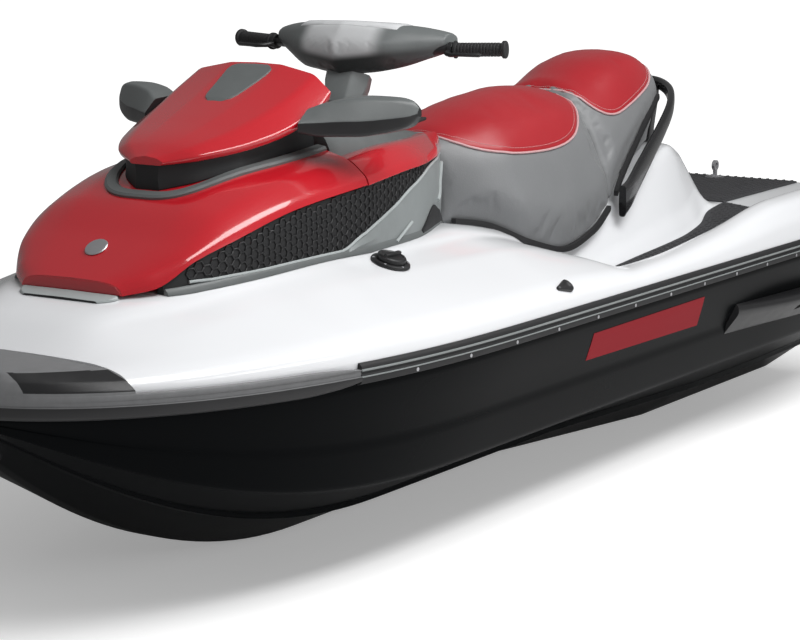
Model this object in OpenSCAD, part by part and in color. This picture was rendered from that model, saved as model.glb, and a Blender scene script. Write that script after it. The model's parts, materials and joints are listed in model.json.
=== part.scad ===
// Personal watercraft, three seats, jet drive.
// Frame while drawing: X = 0 at the bow tip and negative going aft, Y to port,
// Z = 0 under the keel. place() then centres the craft lengthwise on X.

/* [Overall] */
// Length over all
loa = 3540; // [3000:10:4300]
// Beam over the rub rails
beam = 1220; // [1020:10:1460]
// Height of the hull and deck joint above the keel
rail_z = 510; // [430:5:610]
// Length of the tapered bow in plan
bow_len = 1300; // [1150:10:1500]
// Length over which the keel rises to the stem
forefoot = 1090; // [950:10:1250]

/* [Hull] */
// Half width of the flat keel pad amidships
pad_half = 50; // [30:1:80]
// Half width of the flat bottom under the pump
stern_pad = 180; // [170:1:220]
// Half width over the chines
chine_half = 490; // [400:5:600]
// Height of the chine amidships
chine_z = 215; // [160:5:260]
// Depth of the rub rail from its outer face
rail_d = 14; // [8:1:20]
// Height of the rub rail
rail_h = 38; // [24:1:50]

/* [Seats] */
// Gap between the two seats
seat_gap = 6; // [5:1:10]

/* [Steering] */
// Width over the grips
bar_w = 770; // [680:5:820]
// Handlebar tube radius
bar_r = 11; // [10:0.5:13]
// Steering shaft radius
steer_r = 17; // [14:0.5:20]
// Steering shaft lean, aft at the top
steer_lean = 21; // [10:1:30]

/* [Jet pump] */
// Inner radius of the pump tube
pump_r = 78; // [70:1:80]
// Height of the pump axis above the keel
pump_z = 130; // [124:1:140]
// Half width of the pump tunnel
tunnel_half = 150; // [145:1:165]
// Drive shaft radius
shaft_r = 12; // [10:0.5:15]

/* [Storage] */
// Length of the front storage bin
bin_l = 460; // [360:5:500]
// Width of the front storage bin
bin_w = 360; // [280:5:400]
// Depth of the front storage bin
bin_d = 190; // [140:5:200]

/* [Hidden] */
$fn = 48;
half = beam / 2;
seat_eps = 0.3;
clear = 5;
// Gap under the deck where it lies in the hull
joint_gap = 1.5;
// Height of the keel line at the bow tip
stem_h = 456;

// ---------------------------------------------------------------- helpers
function clamp(v, a, b) = max(a, min(b, v));
function mix(a, b, t) = a + (b - a) * t;
function knot(c, x) = clamp(len([for (p = c) if (p[0] <= x) 1]) - 1, 0, len(c) - 2);
function rise(c, i) = (c[i + 1][1] - c[i][1]) / (c[i + 1][0] - c[i][0]);
// Slope at a knot: the harmonic mean of its two neighbours, so that no curve overshoots
function knot_slope(c, i) = i == 0 ? rise(c, 0)
    : i == len(c) - 1 ? rise(c, i - 1)
    : rise(c, i - 1) * rise(c, i) <= 0 ? 0
    : 2 * rise(c, i - 1) * rise(c, i) / (rise(c, i - 1) + rise(c, i));
function cubic(p, q, m, n, t) = (2 * t ^ 3 - 3 * t ^ 2 + 1) * p + (t ^ 3 - 2 * t ^ 2 + t) * m
    + (3 * t ^ 2 - 2 * t ^ 3) * q + (t ^ 3 - t ^ 2) * n;
// Smooth curve through [x, value] knots, flat beyond its ends
function curve(c, x) =
    let (i = knot(c, x), h = c[i + 1][0] - c[i][0], t = clamp((x - c[i][0]) / h, 0, 1))
    cubic(c[i][1], c[i + 1][1], h * knot_slope(c, i), h * knot_slope(c, i + 1), t);
// Value of point j, coordinate k, of a lines table [[x, [[y, z], ...]], ...] at station x
function line_at(table, j, k, x) = curve([for (s = table) [s[0], s[1][j][k]]], x);
function lines_at(table, x) =
    [for (j = [0:len(table[0][1]) - 1]) [line_at(table, j, 0, x), line_at(table, j, 1, x)]];
// Port half section without its centre points where it is flat there
function trim_half(h) =
    let (n = len(h), a = abs(h[0][1] - h[1][1]) < 0.001 && h[0][0] < 0.01 ? 1 : 0,
        b = abs(h[n - 1][1] - h[n - 2][1]) < 0.001 && h[n - 1][0] < 0.01 ? n - 2 : n - 1)
    [for (i = [a:b]) h[i]];
function flip(h) = [for (i = [len(h) - 1:-1:0]) h[i]];
function port_side(h) = [for (p = h) if (p[0] > 0.01) [-p[0], p[1]]];
// Port half section, mirrored to a whole ring
function whole(h) = let (k = trim_half(h)) concat(k, flip(port_side(k)));

// Solid through rings of [x, y, z] points, all the same length
module skin(rings) {
    n = len(rings[0]);
    m = len(rings);
    polyhedron(points = [for (r = rings) each r],
        faces = concat([[for (j = [0:n - 1]) j]], [[for (j = [n - 1:-1:0]) (m - 1) * n + j]],
            [for (i = [0:m - 2], j = [0:n - 1]) each
                [[i * n + j, (i + 1) * n + (j + 1) % n, i * n + (j + 1) % n],
                 [i * n + j, (i + 1) * n + j, (i + 1) * n + (j + 1) % n]]]));
}
// Solid through sections: xs are stations, f(x) gives the ring of [y, z] there
module loft(xs, f) {
    skin([for (x = xs) [for (p = f(x)) [x, p[0], p[1]]]]);
}
function span(a, b, n) = [for (k = [0:n]) mix(a, b, k / n)];
module place() {
    translate([loa / 2, 0, 0]) children();
}
module both() {
    children();
    mirror([0, 1, 0]) children();
}
module rod(a, b, r) {
    d = b - a;
    translate(a) rotate([0, acos(d[2] / norm(d)), atan2(d[1], d[0])]) cylinder(h = norm(d), r = r);
}
module box(a, b) {
    translate(a) cube(b - a);
}

// ---------------------------------------------------------------- hull and deck lines
bow_n = 12;
bow_cap = 8;
tip = 0.995;
mid_n = 40;
bow_ts = [for (k = [0:bow_n]) sin(90 * k / bow_n)];
function bow_x(t) = -bow_len * (1 - t);
aft_xs = span(-loa, -bow_len, mid_n);
bow_xs = [for (k = [1:bow_n]) bow_x(bow_ts[k])];
function stern_in(x) = 50 * clamp((x + loa - 800) / -800, 0, 1) ^ 2;
// Half beam of the rail, inset by d from its outer face
function rail_y(x, d) =
    let (t = clamp((x + bow_len) / bow_len, 0, 1))
    (half - d) * sqrt(1 - (tip * t) ^ 2.6) - stern_in(x);
function keel_z(x) = x < -forefoot ? 0 : stem_h * ((x + forefoot) / forefoot) ^ 2;
function chine_t(x) = clamp((x + bow_len - 60) / (bow_len - 60), 0, 1);
function chine_y(x) = chine_half * sqrt(1 - (tip * chine_t(x)) ^ 2.4) - 0.6 * stern_in(x);
function chine_h(x) = chine_z + (rail_z - 45 - chine_z) * chine_t(x) ^ 3;
function pad_y(x) =
    x < -forefoot ? mix(stern_pad, pad_half, clamp((x + loa - 900) / 700, 0, 1))
    : mix(pad_half, 12, (x + forefoot) / forefoot);
tray_z = rail_z - 70;
tray_end = -500;
tray_ramp = 100;
function tray(x) = mix(tray_z, rail_z, clamp((x - tray_end) / tray_ramp, 0, 1));
function hull_half(x) =
    let (k = keel_z(x), p = pad_y(x), cy = max(chine_y(x), p + 24), ch = max(chine_h(x), k + 12),
        ry = max(rail_y(x, 0) - rail_d, cy + 2), s = (ch - k) / (cy - p), w = cy - p)
    [[0, k], [p, k], [p + 0.46 * w, k + 0.46 * w * s - 3],
        [p + 0.52 * w, k + 0.46 * w * s - 1], [p + 0.53 * w, k + 0.53 * w * s],
        [cy - 6, ch - 8], [cy, ch], [mix(cy, ry, 0.3) + 3, mix(ch, rail_z - 45, 0.36)],
        [mix(cy, ry, 0.4) - 5, mix(ch, rail_z - 45, 0.44)], [mix(cy, ry, 0.8), mix(ch, rail_z - 45, 0.82)],
        [ry, rail_z - 44], [ry, rail_z], [0.86 * ry, rail_z], [0.8 * ry, tray(x)], [0, tray(x)]];

// Gunwale lines: inset from the rail, height above the joint
gunwale = [
    [-loa, [[20, 58], [44, 82], [112, 88], [140, 66]]],
    [-2950, [[18, 72], [42, 120], [104, 134], [136, 34]]],
    [-2720, [[18, 66], [42, 116], [104, 130], [138, 10]]],
    [-2340, [[16, 48], [40, 78], [100, 84], [142, -14]]],
    [-2000, [[16, 38], [38, 56], [100, 58], [148, -40]]],
    [-1850, [[16, 36], [38, 52], [104, 56], [160, -34]]],
    [-1740, [[16, 38], [42, 60], [116, 84], [190, 92]]],
    [-1440, [[16, 42], [46, 70], [122, 102], [200, 134]]],
    [-940, [[16, 42], [46, 70], [122, 104], [205, 138]]],
    [-500, [[16, 38], [44, 60], [112, 86], [180, 112]]],
    [-174, [[14, 26], [34, 42], [66, 52], [110, 58]]]];
// Centre lines: half width, height above the joint, from the footwell in to the crown
centre = [
    [-loa, [[250, 66], [200, 66], [120, 66], [60, 66]]],
    [-2990, [[250, 62], [200, 62], [120, 62], [60, 62]]],
    [-2905, [[246, 50], [216, 104], [150, 216], [104, 232]]],
    [-2770, [[280, 24], [246, 76], [194, 232], [180, 248]]],
    [-2620, [[294, 6], [258, 60], [206, 200], [192, 216]]],
    [-2340, [[296, -14], [262, 20], [214, 128], [200, 146]]],
    [-2000, [[276, -42], [262, -16], [236, 30], [218, 44]]],
    [-1850, [[278, -36], [264, 0], [240, 52], [222, 70]]],
    [-1740, [[310, 104], [290, 118], [250, 130], [222, 136]]],
    [-1440, [[318, 154], [296, 166], [264, 174], [230, 175]]],
    [-940, [[336, 158], [306, 170], [276, 175], [230, 175]]],
    [-620, [[300, 146], [280, 158], [256, 166], [200, 168]]],
    [-440, [[255, 124], [232, 136], [205, 146], [150, 150]]],
    [-300, [[190, 108], [165, 116], [130, 122], [80, 124]]],
    [-174, [[180, 60], [140, 61], [90, 62], [50, 62]]]];
function deck_top(x) =
    let (r = rail_y(x, 0), g = lines_at(gunwale, x), c = lines_at(centre, x))
    concat([[r - 12, rail_z + 16]], [for (p = g) [r - p[0], rail_z + p[1]]],
        [for (p = c) [min(p[0], r - 150), rail_z + p[1]]], [[0, rail_z + c[3][1]]]);
// The deck's underside steps up this far aft of the hull's tray
tray_lead = 125;
function deck_half(x) =
    let (r = rail_y(x, 0) - rail_d, g = joint_gap, t = tray(x + tray_lead) + g)
    concat([[0, min(t, rail_z)], [0.8 * r - g, min(t, rail_z)], [0.86 * r - g, rail_z], [r, rail_z]], deck_top(x));
// Height of the deck at a point: the outline between the two points either side of y
function height_in(h, y) =
    let (i = clamp(len([for (p = h) if (p[0] > y) 1]) - 1, 0, len(h) - 2),
        a = h[i], b = h[i + 1], t = a[0] == b[0] ? 0 : clamp((a[0] - y) / (a[0] - b[0]), 0, 1))
    mix(a[1], b[1], t);
function deck_z(x, y) = height_in(deck_top(x), abs(y));

// ---------------------------------------------------------------- positions
tunnel_x = -loa + 580;
housing_l = 200;
spigot_x = tunnel_x - housing_l - 50;
nozzle_x = spigot_x - 68;
bucket_x = nozzle_x - 40;
hood_front = -395;
hood_back = -1060;
hinge_x = hood_front - 9;
hinge_z = deck_z(hood_front - 9, 0) + 14;
bin_front = -530;
well_half = 165;
well_x = [-2560, -1860];
seam_x = -2340;
seat_front = -1716;
seat_back = -2850;
bar_x = -1462;
bar_z = rail_z + 592;
axis = [-sin(steer_lean), 0, cos(steer_lean)];
glove_x = -1575;
glove_l = 120;
console_back = -1706;

module hull_shell() {
    xs = concat([-loa + 20], [for (x = aft_xs) if (x > -loa + 80) x], bow_xs);
    color([0.03, 0.03, 0.035]) place() difference() {
        loft(xs, function(x) whole(hull_half(x)));
        // flat transom
        box([-loa, -half, -1], [-loa + 60, half, rail_z + 1]);
        // jet tunnel
        box([-loa - 1, -tunnel_half, -1], [tunnel_x, tunnel_half, 310]);
        // ride plate seat
        box([-loa - 1, -stern_pad + 4, -1], [tunnel_x, stern_pad - 4, 12]);
        // intake duct
        translate([0, 78, 0]) rotate([90, 0, 0]) linear_extrude(156)
            polygon([[tunnel_x - 1, pump_z - 78], [tunnel_x + 60, pump_z - 78], [tunnel_x + 100, -1],
                [tunnel_x + 420, -1], [tunnel_x + 120, pump_z + 78], [tunnel_x - 1, pump_z + 78]]);
        // grate seat
        box([tunnel_x + 84, -92, -1], [tunnel_x + 436, 92, 6]);
        // drive shaft way
        rod([tunnel_x + 100, 0, pump_z], [well_x[0] + 1, 0, pump_z], shaft_r + 3);
        // engine well
        box([well_x[0], -well_half, 92], [well_x[1], well_half, rail_z]);
        // bow eye bolt hole
        rod([-260, 0, bow_eye_z], [0, 0, bow_eye_z], 6);
    }
}

module deck() {
    xs = concat([-loa - 4], [for (i = [1:mid_n]) aft_xs[i]], [for (k = [1:bow_cap]) bow_x(bow_ts[k])]);
    color([0.93, 0.93, 0.94]) place() difference() {
        loft(xs, function(x) whole(deck_half(x)));
        // flat stern
        box([-loa - 9, -beam, 0], [-loa, beam, rail_z + 300]);
        // seat opening over the engine
        box([well_x[0], -well_half, tray_z - 1], [well_x[1], well_half, rail_z + 400]);
        // storage well
        box([bin_front - bin_l - 6, -bin_w / 2 - 6, rail_z - 40],
            [bin_front + 6, bin_w / 2 + 6, rail_z + 300]);
        // pocket for the folded boarding step
        box([-loa - 10, -215, rail_z - 80], [-loa + 60, 215, rail_z - 10]);
    }
}

// ---------------------------------------------------------------- bow bumper and rails
module bow_bumper() {
    cap_xs = [for (k = [bow_cap:bow_n]) bow_x(bow_ts[k])];
    lip_xs = [for (k = [4:bow_n]) bow_x(bow_ts[k])];
    color([0.42, 0.43, 0.44]) place() {
        // cap over the tip of the deck
        loft(cap_xs, function(x)
            let (y = rail_y(x, 0))
            whole([[0, rail_z], [y - rail_d, rail_z], [y - 1, rail_z + 2], [y - 1, rail_z + 16],
                [y * 0.94 - 4, rail_z + 36], [y * 0.8 - 6, rail_z + 52], [y * 0.45, rail_z + 60],
                [0, rail_z + 62]]));
        // lip along the joint
        both() loft(lip_xs, function(x)
            let (y = rail_y(x, 0))
            [[y - rail_d, rail_z - 44], [y, rail_z - 38], [y, rail_z + 10], [y - 5, rail_z + 12],
                [y - rail_d + 0.5, rail_z + 1]]);
    }
}

module rub_rails() {
    xs = concat([for (x = aft_xs) if (x > -loa + 30) x], [for (k = [1:4]) bow_x(bow_ts[k])]);
    color([0.2, 0.2, 0.21]) place() both() loft(xs, function(x)
        let (y = rail_y(x, 0))
        [[y - rail_d, rail_z - rail_h + 4], [y - 3, rail_z - rail_h + 8], [y, rail_z - 14],
            [y - 5, rail_z - 8], [y, rail_z - 2], [y - 2, rail_z + 8], [y - 11.4, rail_z + 14],
            [y - rail_d + seat_eps, rail_z]]);
}

function crease_z(x, f) = mix(chine_h(x), rail_z - 45, f);
// Half beam of the hull side at height z
function side_y(x, z) =
    let (h = hull_half(x), p = [for (i = [10:-1:6]) h[i]],
        i = clamp(len([for (q = p) if (q[1] > z) 1]) - 1, 0, len(p) - 2), a = p[i], b = p[i + 1])
    mix(a[0], b[0], clamp((a[1] - z) / max(a[1] - b[1], 0.01), 0, 1));
sponson_x = [-loa + 230, -2440];
module sponsons() {
    xs = [for (x = aft_xs) if (x >= sponson_x[0] && x <= sponson_x[1]) x];
    color([0.06, 0.06, 0.065]) place() both() loft(xs, function(x)
        let (t = (x - xs[0]) / (xs[len(xs) - 1] - xs[0]), d = 44 * sin(20 + 150 * t),
            lo = mix(262, 300, t), hi = mix(352, 384, t))
        concat([[side_y(x, lo) + seat_eps, lo], [side_y(x, lo) + 0.6 * d, lo + 8],
            [side_y(x, hi) + d, hi - 26], [side_y(x, hi) + d * 0.8, hi - 8],
            [side_y(x, hi) + seat_eps, hi]],
            [for (f = [0.44, 0.36]) [side_y(x, crease_z(x, f)) + seat_eps, crease_z(x, f)]]));
}

mat_t = 5;
mat_gap = 0.9;
// Mat between two points a, b of the deck outline, u and v of the way across
function mat_ring(x, i, u, v) =
    let (h = deck_top(x), a = h[i], b = h[i + 1], p = a + (b - a) * u, q = a + (b - a) * v)
    [[q[0], q[1] + mat_gap], [p[0], p[1] + mat_gap], [p[0], p[1] + mat_gap + mat_t],
        [q[0], q[1] + mat_gap + mat_t]];
stern_mat_x = -3005;
function stern_mat_z(x) = max(deck_z(x, 0), deck_z(x, deck_top(x)[5][0]));
module deck_mats() {
    foot_xs = [for (x = aft_xs) if (x > stern_mat_x + 10 && x < -1900) x];
    stern_xs = [for (x = aft_xs) if (x > -loa + 10 && x < stern_mat_x) x];
    color([0.13, 0.13, 0.14]) place() {
        both() loft(foot_xs, function(x) mat_ring(x, 4, 0.04, 0.96));
        loft(stern_xs, function(x)
            let (z = stern_mat_z(x), w = deck_top(x)[5][0])
            whole([[0, z + seat_eps], [w, z + seat_eps], [w, z + mat_t], [0, z + mat_t]]));
    }
}

// ---------------------------------------------------------------- front hood
// Half outline of the red panel: half width, height above the joint, low edge to flat top
hood_lines = [
    [-1060, [[300, 322], [294, 340], [250, 376], [165, 400]]],
    [-800, [[290, 296], [284, 314], [240, 350], [158, 374]]],
    [-620, [[270, 254], [264, 272], [225, 302], [150, 318]]],
    [-510, [[235, 215], [230, 228], [200, 240], [140, 246]]],
    [-440, [[190, 165], [186, 180], [170, 196], [120, 203]]],
    [-395, [[135, 150], [132, 160], [120, 170], [90, 176]]]];
hood_wall = 7;
hood_xs = concat(span(hood_back, -620, 8), [-580, -545, -510, -485, -460, -440, -425, -410, hood_front]);
function hood_top(x) =
    let (h = lines_at(hood_lines, x))
    [for (p = h) [p[0], rail_z + p[1]]];
function hood_under(x) =
    let (h = hood_top(x), w = hood_wall)
    [[h[0][0] - w, h[0][1]], [h[1][0] - w, h[1][1] - 0.5 * w], [h[2][0] - 0.6 * w, h[2][1] - w],
        [h[3][0], h[3][1] - w]];
// Ring of an arch from its outer and inner half outlines
function arch(o, u) = concat(o, flip(port_side(o)), port_side(u), flip(u));
module hood_panel() {
    color([0.62, 0.03, 0.05]) place()
        loft(hood_xs, function(x) arch(hood_top(x), hood_under(x)));
}

// Visor: half width and height of the lower edge, the side and the crown
visor_lines = [
    [-1055, [[200, 505], [206, 524], [160, 562], [70, 580]]],
    [-1000, [[206, 474], [212, 494], [162, 536], [70, 551]]],
    [-900, [[196, 440], [204, 458], [152, 494], [64, 507]]],
    [-800, [[168, 416], [176, 432], [130, 459], [54, 469]]],
    [-700, [[110, 398], [118, 411], [90, 427], [38, 432]]],
    [-650, [[40, 388], [46, 395], [30, 403], [14, 405]]]];
visor_xs = [-1055, -1025, -1000, -970, -935, -900, -865, -830, -800, -765, -730, -700, -680, -664, -650];
function visor_low(x) = rail_z + line_at(visor_lines, 0, 1, x);
function visor_w(x) = line_at(visor_lines, 0, 0, x);
function visor_top(x) =
    let (h = lines_at(visor_lines, x))
    concat([for (p = h) [p[0], rail_z + p[1]]], [[0, rail_z + h[3][1] + 2]]);
module hood_visor() {
    color([0.68, 0.03, 0.05]) place()
        loft(visor_xs, function(x) whole(concat([[0, visor_low(x)]], visor_top(x))));
}
// Dark band that carries the visor on the panel
module hood_band() {
    color([0.03, 0.03, 0.03]) place() loft(visor_xs, function(x)
        let (w = min(visor_w(x) - 12, hood_top(x)[3][0] - 4), z = hood_top(x)[3][1] + seat_eps)
        whole([[0, z], [w, z], [w, visor_low(x) - seat_eps], [0, visor_low(x) - seat_eps]]));
}
// Grey inset on the crown of the visor
module hood_inset() {
    xs = [for (x = visor_xs) if (x < -890) x];
    color([0.35, 0.36, 0.37]) place() loft(xs, function(x)
        let (h = visor_top(x), w = mix(34, 66, (x - xs[len(xs) - 1]) / (xs[0] - xs[len(xs) - 1])),
            z = height_in(h, w) + seat_eps, c = h[4][1] + seat_eps, k = min(w, h[3][0]))
        whole([[0, c], [k, height_in(h, k) + seat_eps], [w + 0.01, z], [w, z + 3], [0, c + 3]]));
}
strap_ys = [55, 65];
module hood_straps() {
    xs = [for (x = hood_xs) if (x >= -600 && x <= -440) x];
    color([0.3, 0.3, 0.32]) place() both() difference() {
        union() {
            translate([0, strap_ys[1], 0]) rotate([90, 0, 0]) linear_extrude(strap_ys[1] - strap_ys[0])
                polygon(concat([[hinge_x + 2, hinge_z + 3]],
                    [for (i = [len(xs) - 1:-1:0]) [xs[i], hood_under(xs[i])[3][1] - seat_eps]],
                    [for (x = xs) [x, hood_under(x)[3][1] - 6]],
                    [[hinge_x - 12, hinge_z - 1], [hinge_x - 4, hinge_z - 5]]));
            rod([hinge_x, strap_ys[0], hinge_z], [hinge_x, strap_ys[1], hinge_z], 8);
        }
        rod([hinge_x, strap_ys[0] - 1, hinge_z], [hinge_x, strap_ys[1] + 1, hinge_z], 4.05);
    }
}
module hood_bracket() {
    color([0.05, 0.05, 0.05]) place() both() {
        for (y = [strap_ys[0] - 7, strap_ys[1] + 1])
            hull() {
                rod([hinge_x, y, hinge_z], [hinge_x, y + 6, hinge_z], 7);
                box([hinge_x - 12, y, deck_z(hinge_x - 12, y) + seat_eps],
                    [hinge_x + 6, y + 6, deck_z(hinge_x - 12, y) + 3]);
            }
        rod([hinge_x, strap_ys[0] - 7, hinge_z], [hinge_x, strap_ys[1] + 7, hinge_z], 4);
    }
}

// Mirror: corners of each section along Y: back, front, low and high
mirror_lines = [
    [212.3, [-1045, -915, 78, 134]],
    [255, [-1062, -945, 70, 150]],
    [315, [-1080, -985, 70, 156]],
    [375, [-1096, -1032, 80, 154]],
    [408, [-1100, -1064, 94, 146]],
    [418, [-1100, -1076, 106, 138]]];
mirror_z = rail_z + 366;
module mirrors() {
    color([0.04, 0.04, 0.045]) place() both() skin([for (m = mirror_lines)
        let (y = m[0], b = m[1][0], f = m[1][1], low = mirror_z + m[1][2], top = mirror_z + m[1][3])
        [[f, y, low], [b, y, low], [b, y, top - 8], [b + 14, y, top], [mix(b, f, 0.7), y, top - 4],
            [f, y, mix(low, top, 0.4)]]]);
}
module mirror_glass() {
    color([0.75, 0.78, 0.8]) place() both() skin([for (i = [2:4])
        let (m = mirror_lines[i], y = m[0] + (i == 2 ? 8 : i == 4 ? -4 : 0),
            b = lookup(y, [for (n = mirror_lines) [n[0], n[1][0]]]) - 0.4,
            low = mirror_z + m[1][2] + 8, top = mirror_z + m[1][3] - 12)
        [[b, y, low], [b - 3, y, low], [b - 3, y, top], [b, y, top]]]);
}

// ---------------------------------------------------------------- fixed front body
module nose_trim() {
    xs = [hood_front + 5, hood_front + 14, hood_front + 26, hood_front + 38];
    color([0.4, 0.41, 0.42]) place() loft(xs, function(x)
        let (t = (x - xs[0]) / (xs[3] - xs[0]), w = 130 - 30 * t ^ 2)
        whole([[0, deck_z(x, 0) + seat_eps], [w, deck_z(x, 0) + seat_eps],
            [w - 3, deck_z(x, 0) + 9 - 4 * t], [0, deck_z(x, 0) + 10 - 4 * t]]));
}

// Red side fairing behind the hood: half width and height, low edge to top
fairing_lines = [
    [console_back, [[92, 326], [88, 346], [76, 374]]],
    [-1600, [[152, 334], [148, 352], [122, 384]]],
    [-1500, [[208, 338], [204, 356], [168, 390]]],
    [-1300, [[276, 336], [270, 353], [224, 392]]],
    [hood_back - 6, [[300, 320], [294, 338], [246, 378]]]];
// Console: half width and height from the deck up
console_lines = [
    [console_back, [[72, 300], [70, 345], [60, 364]]],
    [-1575, [[132, 300], [120, 366], [96, 386]]],
    [-1400, [[190, 300], [172, 380], [128, 412]]],
    [-1200, [[205, 300], [190, 395], [140, 440]]],
    [hood_back - 6, [[205, 300], [195, 400], [150, 455]]]];
console_xs = concat(span(console_back, hood_back - 6, 14));
function console_half(x) =
    let (h = lines_at(console_lines, x), z = max(deck_z(x, 0), deck_z(x, h[0][0])) + seat_eps)
    concat([[0, z], [h[0][0], z]], [for (p = h) [p[0], rail_z + p[1]]], [[0, rail_z + h[2][1] + 3]]);
function console_y(x, z) =
    let (h = console_half(x), p = [for (i = [4:-1:1]) h[i]],
        i = clamp(len([for (q = p) if (q[1] > z) 1]) - 1, 0, len(p) - 2), a = p[i], b = p[i + 1])
    mix(a[0], b[0], clamp((a[1] - z) / max(a[1] - b[1], 0.01), 0, 1));
post_bottom = 262;
function on_axis(s) = [bar_x, 0, bar_z] - s * axis;
module console() {
    color([0.1, 0.1, 0.105]) place() difference() {
        union() {
            loft(console_xs, function(x) whole(console_half(x)));
            // hinge of the glovebox lid
            both() box([glove_x - 5, lid_knuckle[1] + 1, lid_z - 20],
                [glove_x + 5, lid_knuckle[1] + 7, lid_z + 8]);
            rod([glove_x, -lid_knuckle[1] - 7, lid_z + 3], [glove_x, lid_knuckle[1] + 7, lid_z + 3], 2);
        }
        rod(on_axis(post_bottom + 4), on_axis(100), steer_r + 0.05);
        box([glove_x - glove_l + 6, -62, rail_z + 270], [glove_x - 8, 62, rail_z + 500]);
    }
}
module side_fairings() {
    color([0.62, 0.03, 0.05]) place() both() difference() {
        loft(console_xs, function(x)
            let (h = [for (p = lines_at(fairing_lines, x)) [p[0], rail_z + p[1]]],
                zt = h[2][1], yc = console_y(x, zt - 4), yl = console_y(x, zt - 14))
            [h[0], h[1], h[2], [max(yc, yl) + seat_eps, zt - 4], [max(yc, yl) + seat_eps, zt - 14],
                [h[2][0] - 8, zt - 14], [h[1][0] - 10, h[1][1] - 4], [h[0][0] - 9, h[0][1]]]);
        // straight front edge at the hood
        box([hood_back - 6.5, 0, rail_z], [hood_back, half, rail_z + 500]);
    }
}
vent_xs = concat([for (x = console_xs) x], [for (x = hood_xs) if (x > hood_back && x < -450) x]);
function body_edge(x) =
    x > hood_back ? [hood_top(x)[0][0], hood_top(x)[0][1] - clear]
    : let (h = lines_at(fairing_lines, x)[0]) [h[0], rail_z + h[1] - seat_eps];
module vents() {
    color([0.025, 0.025, 0.025]) place() both() loft(vent_xs, function(x)
        let (e = body_edge(x), w = e[0] + 3, z = max(deck_z(x, w), deck_z(x, w - 26)) + seat_eps,
            n = x > hood_back ? 0 : lines_at(console_lines, x)[0][0] + 1)
        [[max(w - 26, n), z], [w, z], [e[0] - 3, e[1]], [max(e[0] - 22, n), e[1]]]);
}
bin_wall = 4;
module storage_bin() {
    z = rail_z - 40 + seat_eps;
    color([0.12, 0.12, 0.13]) place() difference() {
        box([bin_front - bin_l, -bin_w / 2, z], [bin_front, bin_w / 2, z + bin_d]);
        box([bin_front - bin_l + bin_wall, -bin_w / 2 + bin_wall, z + bin_wall],
            [bin_front - bin_wall, bin_w / 2 - bin_wall, z + bin_d + 1]);
    }
}
module gauge_cluster() {
    xs = span(-1215, hood_back - 8, 5);
    color([0.2, 0.21, 0.22]) place() loft(xs, function(x)
        let (t = (x - xs[0]) / (xs[5] - xs[0]), zc = console_half(x)[4][1] + 3 + seat_eps,
            zt = zc + mix(14, 96, t), w = 118)
        whole([[0, zc], [w, zc], [w, mix(zc, zt, 0.7)], [w - 14, zt], [0, zt + 3]]));
}
lid_t = 5;
lid_z = rail_z + 392;
lid_knuckle = [30, 50];
module glovebox_lid() {
    color([0.12, 0.12, 0.125]) place() difference() {
        union() {
            translate([glove_x, 0, lid_z]) rotate([0, -7, 0])
                translate([8 - glove_l, -70, 0]) cube([glove_l - 18, 140, lid_t]);
            both() {
                rod([glove_x, lid_knuckle[0], lid_z + 3], [glove_x, lid_knuckle[1], lid_z + 3], 5);
                box([glove_x - 14, lid_knuckle[0], lid_z - 0.4], [glove_x, lid_knuckle[1], lid_z + 3.2]);
            }
        }
        rod([glove_x, -80, lid_z + 3], [glove_x, 80, lid_z + 3], 2.05);
    }
}

// ---------------------------------------------------------------- steering
collar = [168, 34];
module steering_post() {
    color([0.08, 0.08, 0.085]) place() difference() {
        union() {
            rod(on_axis(post_bottom), on_axis(20), steer_r);
            rod(on_axis(collar[0]), on_axis(collar[1]), steer_r + 16);
            translate([bar_x, 0, bar_z]) rotate([0, -steer_lean, 0])
                translate([-26, -36, -36]) cube([52, 72, 58]);
        }
        rod([bar_x, -60, bar_z], [bar_x, 60, bar_z], bar_r + 0.1);
    }
}
bend_y = 150;
bar_sweep = 60;
bar_lift = 6;
function bar_at(y) = [bar_x - bar_sweep * max(0, (y - bend_y) / (bar_w / 2 - bend_y)), y,
    bar_z + bar_lift * max(0, (y - bend_y) / (bar_w / 2 - bend_y))];
module handlebar() {
    turn_n = 32;
    color([0.1, 0.1, 0.1]) place() difference() {
        skin([for (y = [-bar_w / 2 + 9, -bend_y, bend_y, bar_w / 2 - 9]) let (c = bar_at(abs(y)))
            [for (k = [0:turn_n - 1]) let (a = 360 * k / turn_n) [c[0] + bar_r * sin(a), y, c[2] + bar_r * cos(a)]]]);
        translate([0, 0, -10]) cube(1);
    }
}
grip_l = 118;
module grips() {
    e = bar_w / 2;
    color([0.03, 0.03, 0.03]) place() both() difference() {
        union() {
            rod(bar_at(e - 6 - grip_l), bar_at(e), 16.5);
            rod(bar_at(e - 6 - grip_l), bar_at(e - grip_l), 21);
            rod(bar_at(e - 8), bar_at(e), 21);
        }
        rod(bar_at(e - 20 - grip_l), bar_at(e - 5.7), bar_r + 0.2);
    }
}
module levers() {
    y = pad_end + 5;
    color([0.06, 0.06, 0.06]) place() both() difference() {
        union() {
            rod(bar_at(y), bar_at(y + 12), 18);
            hull() {
                translate(bar_at(y + 8) + [16, 0, -6]) sphere(r = 7, $fn = 12);
                translate(bar_at(y + 26) + [52, 0, -8]) sphere(r = 5, $fn = 12);
            }
            hull() {
                translate(bar_at(y + 26) + [52, 0, -8]) sphere(r = 5, $fn = 12);
                translate(bar_at(y + 104) + [50, 0, -10]) sphere(r = 4, $fn = 12);
            }
        }
        rod(bar_at(y - 10), bar_at(y + 30), bar_r + 0.2);
    }
}
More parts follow.
